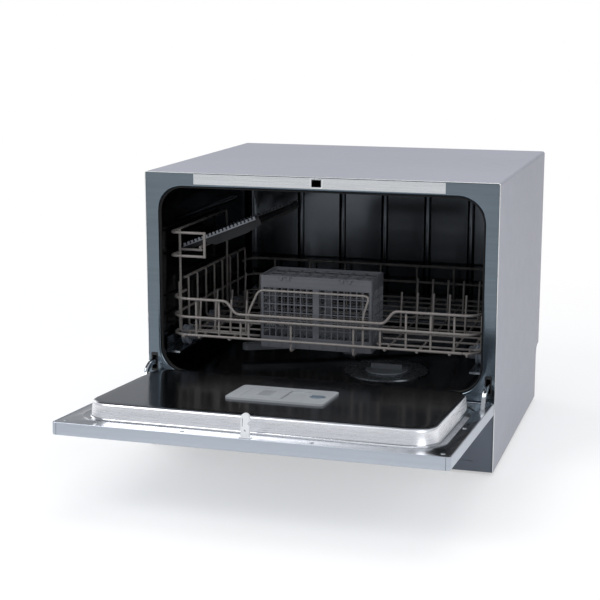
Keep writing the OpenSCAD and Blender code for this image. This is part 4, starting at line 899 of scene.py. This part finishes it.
def cup_shelf_plank():
    """A slotted plank with raised side walls, a rolled tip and three clips round the pivot wire."""
    s = Solid()
    half, tip = SHELF_HALF, SHELF_LENGTH
    under, over = SHELF_UNDER, SHELF_OVER
    start = 2.9
    for y in (-half, half - 8):
        s.block((start, tip), (y, y + 8), (under, over), 0.4)
    for y in (-half, half - 3):
        s.block((6, tip - 1), (y, y + 3), (over - 0.5, 7.5), 0.4)
        wall = [(50, under + 0.5), (64, -10), (120, -10), (147, -5), (147, under + 0.5)]
        s.grid([[(x, side, z) for x, z in wall] for side in (y + 0.1, y + 2.9)], caps=True)
    s.block((start, tip), (-8, 8), (under, over), 0.4)
    pitch, slot, bars = (tip - 30) / 9, 4.5, 10
    for i in range(bars):
        x0 = start if i == 0 else 22 + (i - 1) * pitch + (pitch - slot) / 2
        x1 = tip if i == bars - 1 else 22 + i * pitch - (pitch - slot) / 2
        s.block((x0, x1), (-half + 1, half - 1), (under + 0.2, over - 0.2), 0.4)
    s.tube([(tip - 3, -half, 2.8), (tip - 3, half, 2.8)], 3, 12)
    clip = [(2.4, 0), (3.6, 0), (3.9, 0.4), (3.9, 15.6), (3.6, 16), (2.4, 16)]
    for y in (-half + 12, -8, half - 28):
        s.lathe(clip, (0, y, 0), "Y", 24)
        s.block((1.5, 12), (y + 3, y + 13), (over - 1, over + 2.5), 0.4)
    piece("cup_shelf_plank", s, "shelf", "cup_shelf", ["cup_shelf"], place=ON_SHELF)


def cup_shelf_comb():
    """The comb of small teeth along both side walls of the shelf."""
    s = Solid()
    pitch, tooth = 6.6, 3.8
    for y in (-SHELF_HALF - 0.1, SHELF_HALF - 3.1):
        for i in range(20):
            x = 12 + i * pitch
            s.block((x, x + tooth), (y, y + 3.2), (5.2, 10.4), 0.5)
        s.block((10, 141.5), (y + 0.05, y + 3.15), (4.4, 6.6), 0.3)
    piece("cup_shelf_comb", s, "comb", "cup_shelf", place=ON_SHELF)


# ---- the cutlery basket's rim, clips and ribs ----


def basket_trims():
    """The rolled rims, two clips on the near wall and the ribs at the foot of the basket."""
    s = Solid()
    x, y = (BASKET_LEFT + BASKET_RIGHT) / 2, (BASKET_FRONT + BASKET_REAR) / 2
    w, h = BASKET_RIGHT - BASKET_LEFT, BASKET_REAR - BASKET_FRONT
    for z, grow in ((BASKET_RIM - 2.2, 0.5), (BASKET_RIM - 9.2, 0.35), (BASKET_BASE + 15.5, 0.35)):
        section = [(-0.6, z - 0.7), (grow, z - 0.5), (grow, z + 0.5), (-0.6, z + 0.7)]
        loops = [rounded_loop(x, y, w + 2 * out, h + 2 * out, 5, height, 6) for out, height in section]
        s.grid(loops + loops[:1])
    face = BASKET_FRONT
    leg = ((face - 1.8, face - 0.2), (BASKET_RIM - 6.5, BASKET_RIM - 0.6))
    for x in (BASKET_LEFT + 30, BASKET_RIGHT - 52):
        s.block((x, x + 22), (face - 1.6, face + 2.4), (BASKET_RIM - 1.6, BASKET_RIM - 0.1), 0.3)
        s.block((x + 3, x + 7), *leg, 0.3)
        s.block((x + 15, x + 19), *leg, 0.3)
    for i in range(8):
        x = BASKET_LEFT + 13 + i * 22
        s.block((x, x + 2), (face - 0.7, face + 0.3), (BASKET_BASE + 2, BASKET_BASE + 14.5), 0.3)
    piece("cutlery_basket_trims", s, "basket", "cutlery_basket")


# ---- small parts of the cabinet ----


def back_beads():
    """The stiffening beads pressed out of the back sheet: two frames, with three bars inside each."""
    s = Solid()
    face, proud, middle = 478.5, 1.1, 278
    frame_section = [(0, 0), (1.6, 0.7), (3, 1), (6, 1), (7.4, 0.7), (9, 0)]
    bar_section = [(0, 0), (1.4, 0.7), (3, 1)]
    bar_pitch = 64

    def bead(x, z, w, h, r, section, steps):
        return [front_ring(x, z, w - 2 * inset, h - 2 * inset, r - inset, face + proud * lift, steps)
                for inset, lift in section]

    for x in (-133.5, 133.5):
        ring = bead(x, middle, 236, 286, 22, frame_section, 8)
        s.grid(ring + ring[:1])
        for z in (middle - bar_pitch, middle, middle + bar_pitch):
            s.grid(bead(x, z, 172, 12, 5.8, bar_section, 6), caps=True)
    piece("back_sheet_beads", s, "zinc", "cabinet")


def inlet_thread():
    """The thread on the end of the water inlet."""
    root, crest, pitch, start = 13.3, 14.1, 2.2, 457.0
    profile = [(root - 0.3, start - 0.4)]
    for i in range(6):
        y = start + i * pitch
        profile += [(root, y), (crest, y + 0.8), (crest, y + 1.1), (root, y + 1.9)]
    profile.append((root - 0.3, start + 6 * pitch + 0.4))
    centre = (round((low("inlet_valve", "x") + high("inlet_valve", "x")) / 2, 1), 0, 50.0)
    piece("inlet_thread", Solid().lathe(profile, centre, "Y", 40), "white", "cabinet")


def latch_slot_rim():
    """The raised bright rim round the slot that takes the door's hook."""
    section = [(20.4, 14.6, 2.4, -0.95), (20.0, 14.2, 2.2, -1.4), (18.4, 12.6, 1.8, -1.45),
               (17.4, 12.0, 1.5, -1.2), (17.2, 11.9, 1.4, -0.6)]
    ring = [front_ring(0, LATCH_Z, w, h, r, y, 6) for w, h, r, y in section]
    piece("latch_slot_rim", Solid().grid(ring + ring[:1]), "edge", "cabinet")


door_shell()
door_liner()
door_trims()
back_beads()
inlet_thread()
latch_slot_rim()
front_frame()
tub_shell()
tub_ribs()
gasket()
wrap_edge()
hinge_arm_channels()
cup_shelf_plank()
cup_shelf_comb()
basket_trims()

SOFT_EDGES = {
    0.4: ["base_tray", "service_panel", "dispenser_body", "latch_hook", "feet"],
    0.3: ["wheel_clips", "spray_arm", "filter_cup", "button_power", "button_program", "button_start",
          "door_grip", "latch_trim", "dispenser_lid", "rinse_aid_cap"],
}
for width, names in SOFT_EDGES.items():
    for name in names:
        soften(name, width)
for name in NODES:
    if name.startswith("wheel_") and name != "wheel_clips":
        soften(name, 0.4)

# ---- the camera, at the photograph's viewing angle ----
scene = bpy.context.scene
cam_data = bpy.data.cameras.new("camera")
camera = bpy.data.objects.new("camera", cam_data)
bpy.context.collection.objects.link(camera)
cam_data.sensor_width = 36
cam_data.sensor_fit = "HORIZONTAL"
cam_data.lens = 87.0
cam_data.clip_start = 0.05
cam_data.clip_end = 60
camera.location = (0.5964, -2.0608 + FRONT / 1000, 0.6899)
camera.rotation_euler = (math.radians(78.45), 0, math.radians(16.79))
scene.camera = camera

# ---- the studio ----
scene.view_settings.view_transform = "Standard"


def studio_world():
    """White to the camera and through glass, and a soft cool light on everything else."""
    world = bpy.data.worlds.new("studio")
    scene.world = world
    world.use_nodes = True
    tree = world.node_tree
    tree.nodes.clear()
    output = add_node(tree, "OutputWorld")
    mix = add_node(tree, "MixShader")
    soft = add_node(tree, "Background", [(0, (0.92, 0.95, 1.0, 1)), (1, 0.42)])
    white = add_node(tree, "Background", [(0, (1, 1, 1, 1)), (1, 1.0)])
    path = add_node(tree, "LightPath")
    seen = add_node(tree, "Math")
    seen.operation = "MAXIMUM"
    link = tree.links.new
    link(path.outputs["Is Camera Ray"], seen.inputs[0])
    link(path.outputs["Is Transmission Ray"], seen.inputs[1])
    link(seen.outputs[0], mix.inputs[0])
    link(soft.outputs[0], mix.inputs[1])
    link(white.outputs[0], mix.inputs[2])
    link(mix.outputs[0], output.inputs[0])


def floor_material():
    """Takes a soft shadow near the appliance and fades to white further out.

    The camera and reflections see a paler floor with a glow of its own.
    """
    material = bpy.data.materials.new("studio_floor")
    material.use_nodes = True
    tree = material.node_tree
    tree.nodes.clear()
    output = add_node(tree, "OutputMaterial")
    place = add_node(tree, "TexCoord")
    reach = add_node(tree, "VectorMath")
    reach.operation = "LENGTH"
    far = add_node(tree, "MapRange", [("From Min", 0.45), ("From Max", 1.7)])
    far.interpolation_type = "SMOOTHSTEP"
    white = add_node(tree, "Emission", [(0, (1, 1, 1, 1)), (1, 1.0)])
    fade = add_node(tree, "MixShader")
    diffuse = add_node(tree, "BsdfDiffuse", [(0, (0.86, 0.865, 0.87, 1))])
    pale = add_node(tree, "BsdfDiffuse", [(0, (0.58, 0.585, 0.59, 1))])
    glow = add_node(tree, "Emission", [(0, (1, 1, 1, 1)), (1, 0.48)])
    path = add_node(tree, "LightPath")
    seen = add_node(tree, "Math")
    seen.operation = "MAXIMUM"
    lit = add_node(tree, "AddShader")
    mix = add_node(tree, "MixShader")
    link = tree.links.new
    link(place.outputs["Object"], reach.inputs[0])
    link(reach.outputs["Value"], far.inputs["Value"])
    link(far.outputs[0], fade.inputs[0])
    link(pale.outputs[0], lit.inputs[0])
    link(glow.outputs[0], lit.inputs[1])
    link(lit.outputs[0], fade.inputs[1])
    link(white.outputs[0], fade.inputs[2])
    link(path.outputs["Is Camera Ray"], seen.inputs[0])
    link(path.outputs["Is Glossy Ray"], seen.inputs[1])
    link(seen.outputs[0], mix.inputs[0])
    link(diffuse.outputs[0], mix.inputs[1])
    link(fade.outputs[0], mix.inputs[2])
    link(mix.outputs[0], output.inputs[0])
    return material


def stage_floor():
    """A wide floor just under the feet."""
    bm = bmesh.new()
    bmesh.ops.create_grid(bm, x_segments=24, y_segments=24, size=9)
    mesh = bpy.data.meshes.new("floor")
    bm.to_mesh(mesh)
    bm.free()
    obj = bpy.data.objects.new("floor", mesh)
    obj.location = (0, 0, -0.0006)
    bpy.context.collection.objects.link(obj)
    mesh.materials.append(floor_material())


def area_light(name, place, aim, size, power):
    """A white panel of light that looks at a point."""
    data = bpy.data.lights.new(name, "AREA")
    data.shape = "RECTANGLE"
    data.size, data.size_y = size
    data.energy = power
    obj = bpy.data.objects.new(name, data)
    obj.location = place
    obj.rotation_euler = (Vector(aim) - Vector(place)).to_track_quat("-Z", "Y").to_euler()
    bpy.context.collection.objects.link(obj)


studio_world()
stage_floor()
area_light("key", (-1.5, -1.9, 2.3), (0, 0, 0.2), (1.6, 1.6), 34)
area_light("fill", (2.2, -1.6, 1.5), (0, 0, 0.2), (1.4, 1.8), 22)
area_light("top", (0.2, 0.3, 2.6), (0, 0, 0.3), (2.2, 2.2), 22)
area_light("back", (-2.5, 1.5, 1.1), (0, 0, 0.25), (1.6, 1.2), 14)
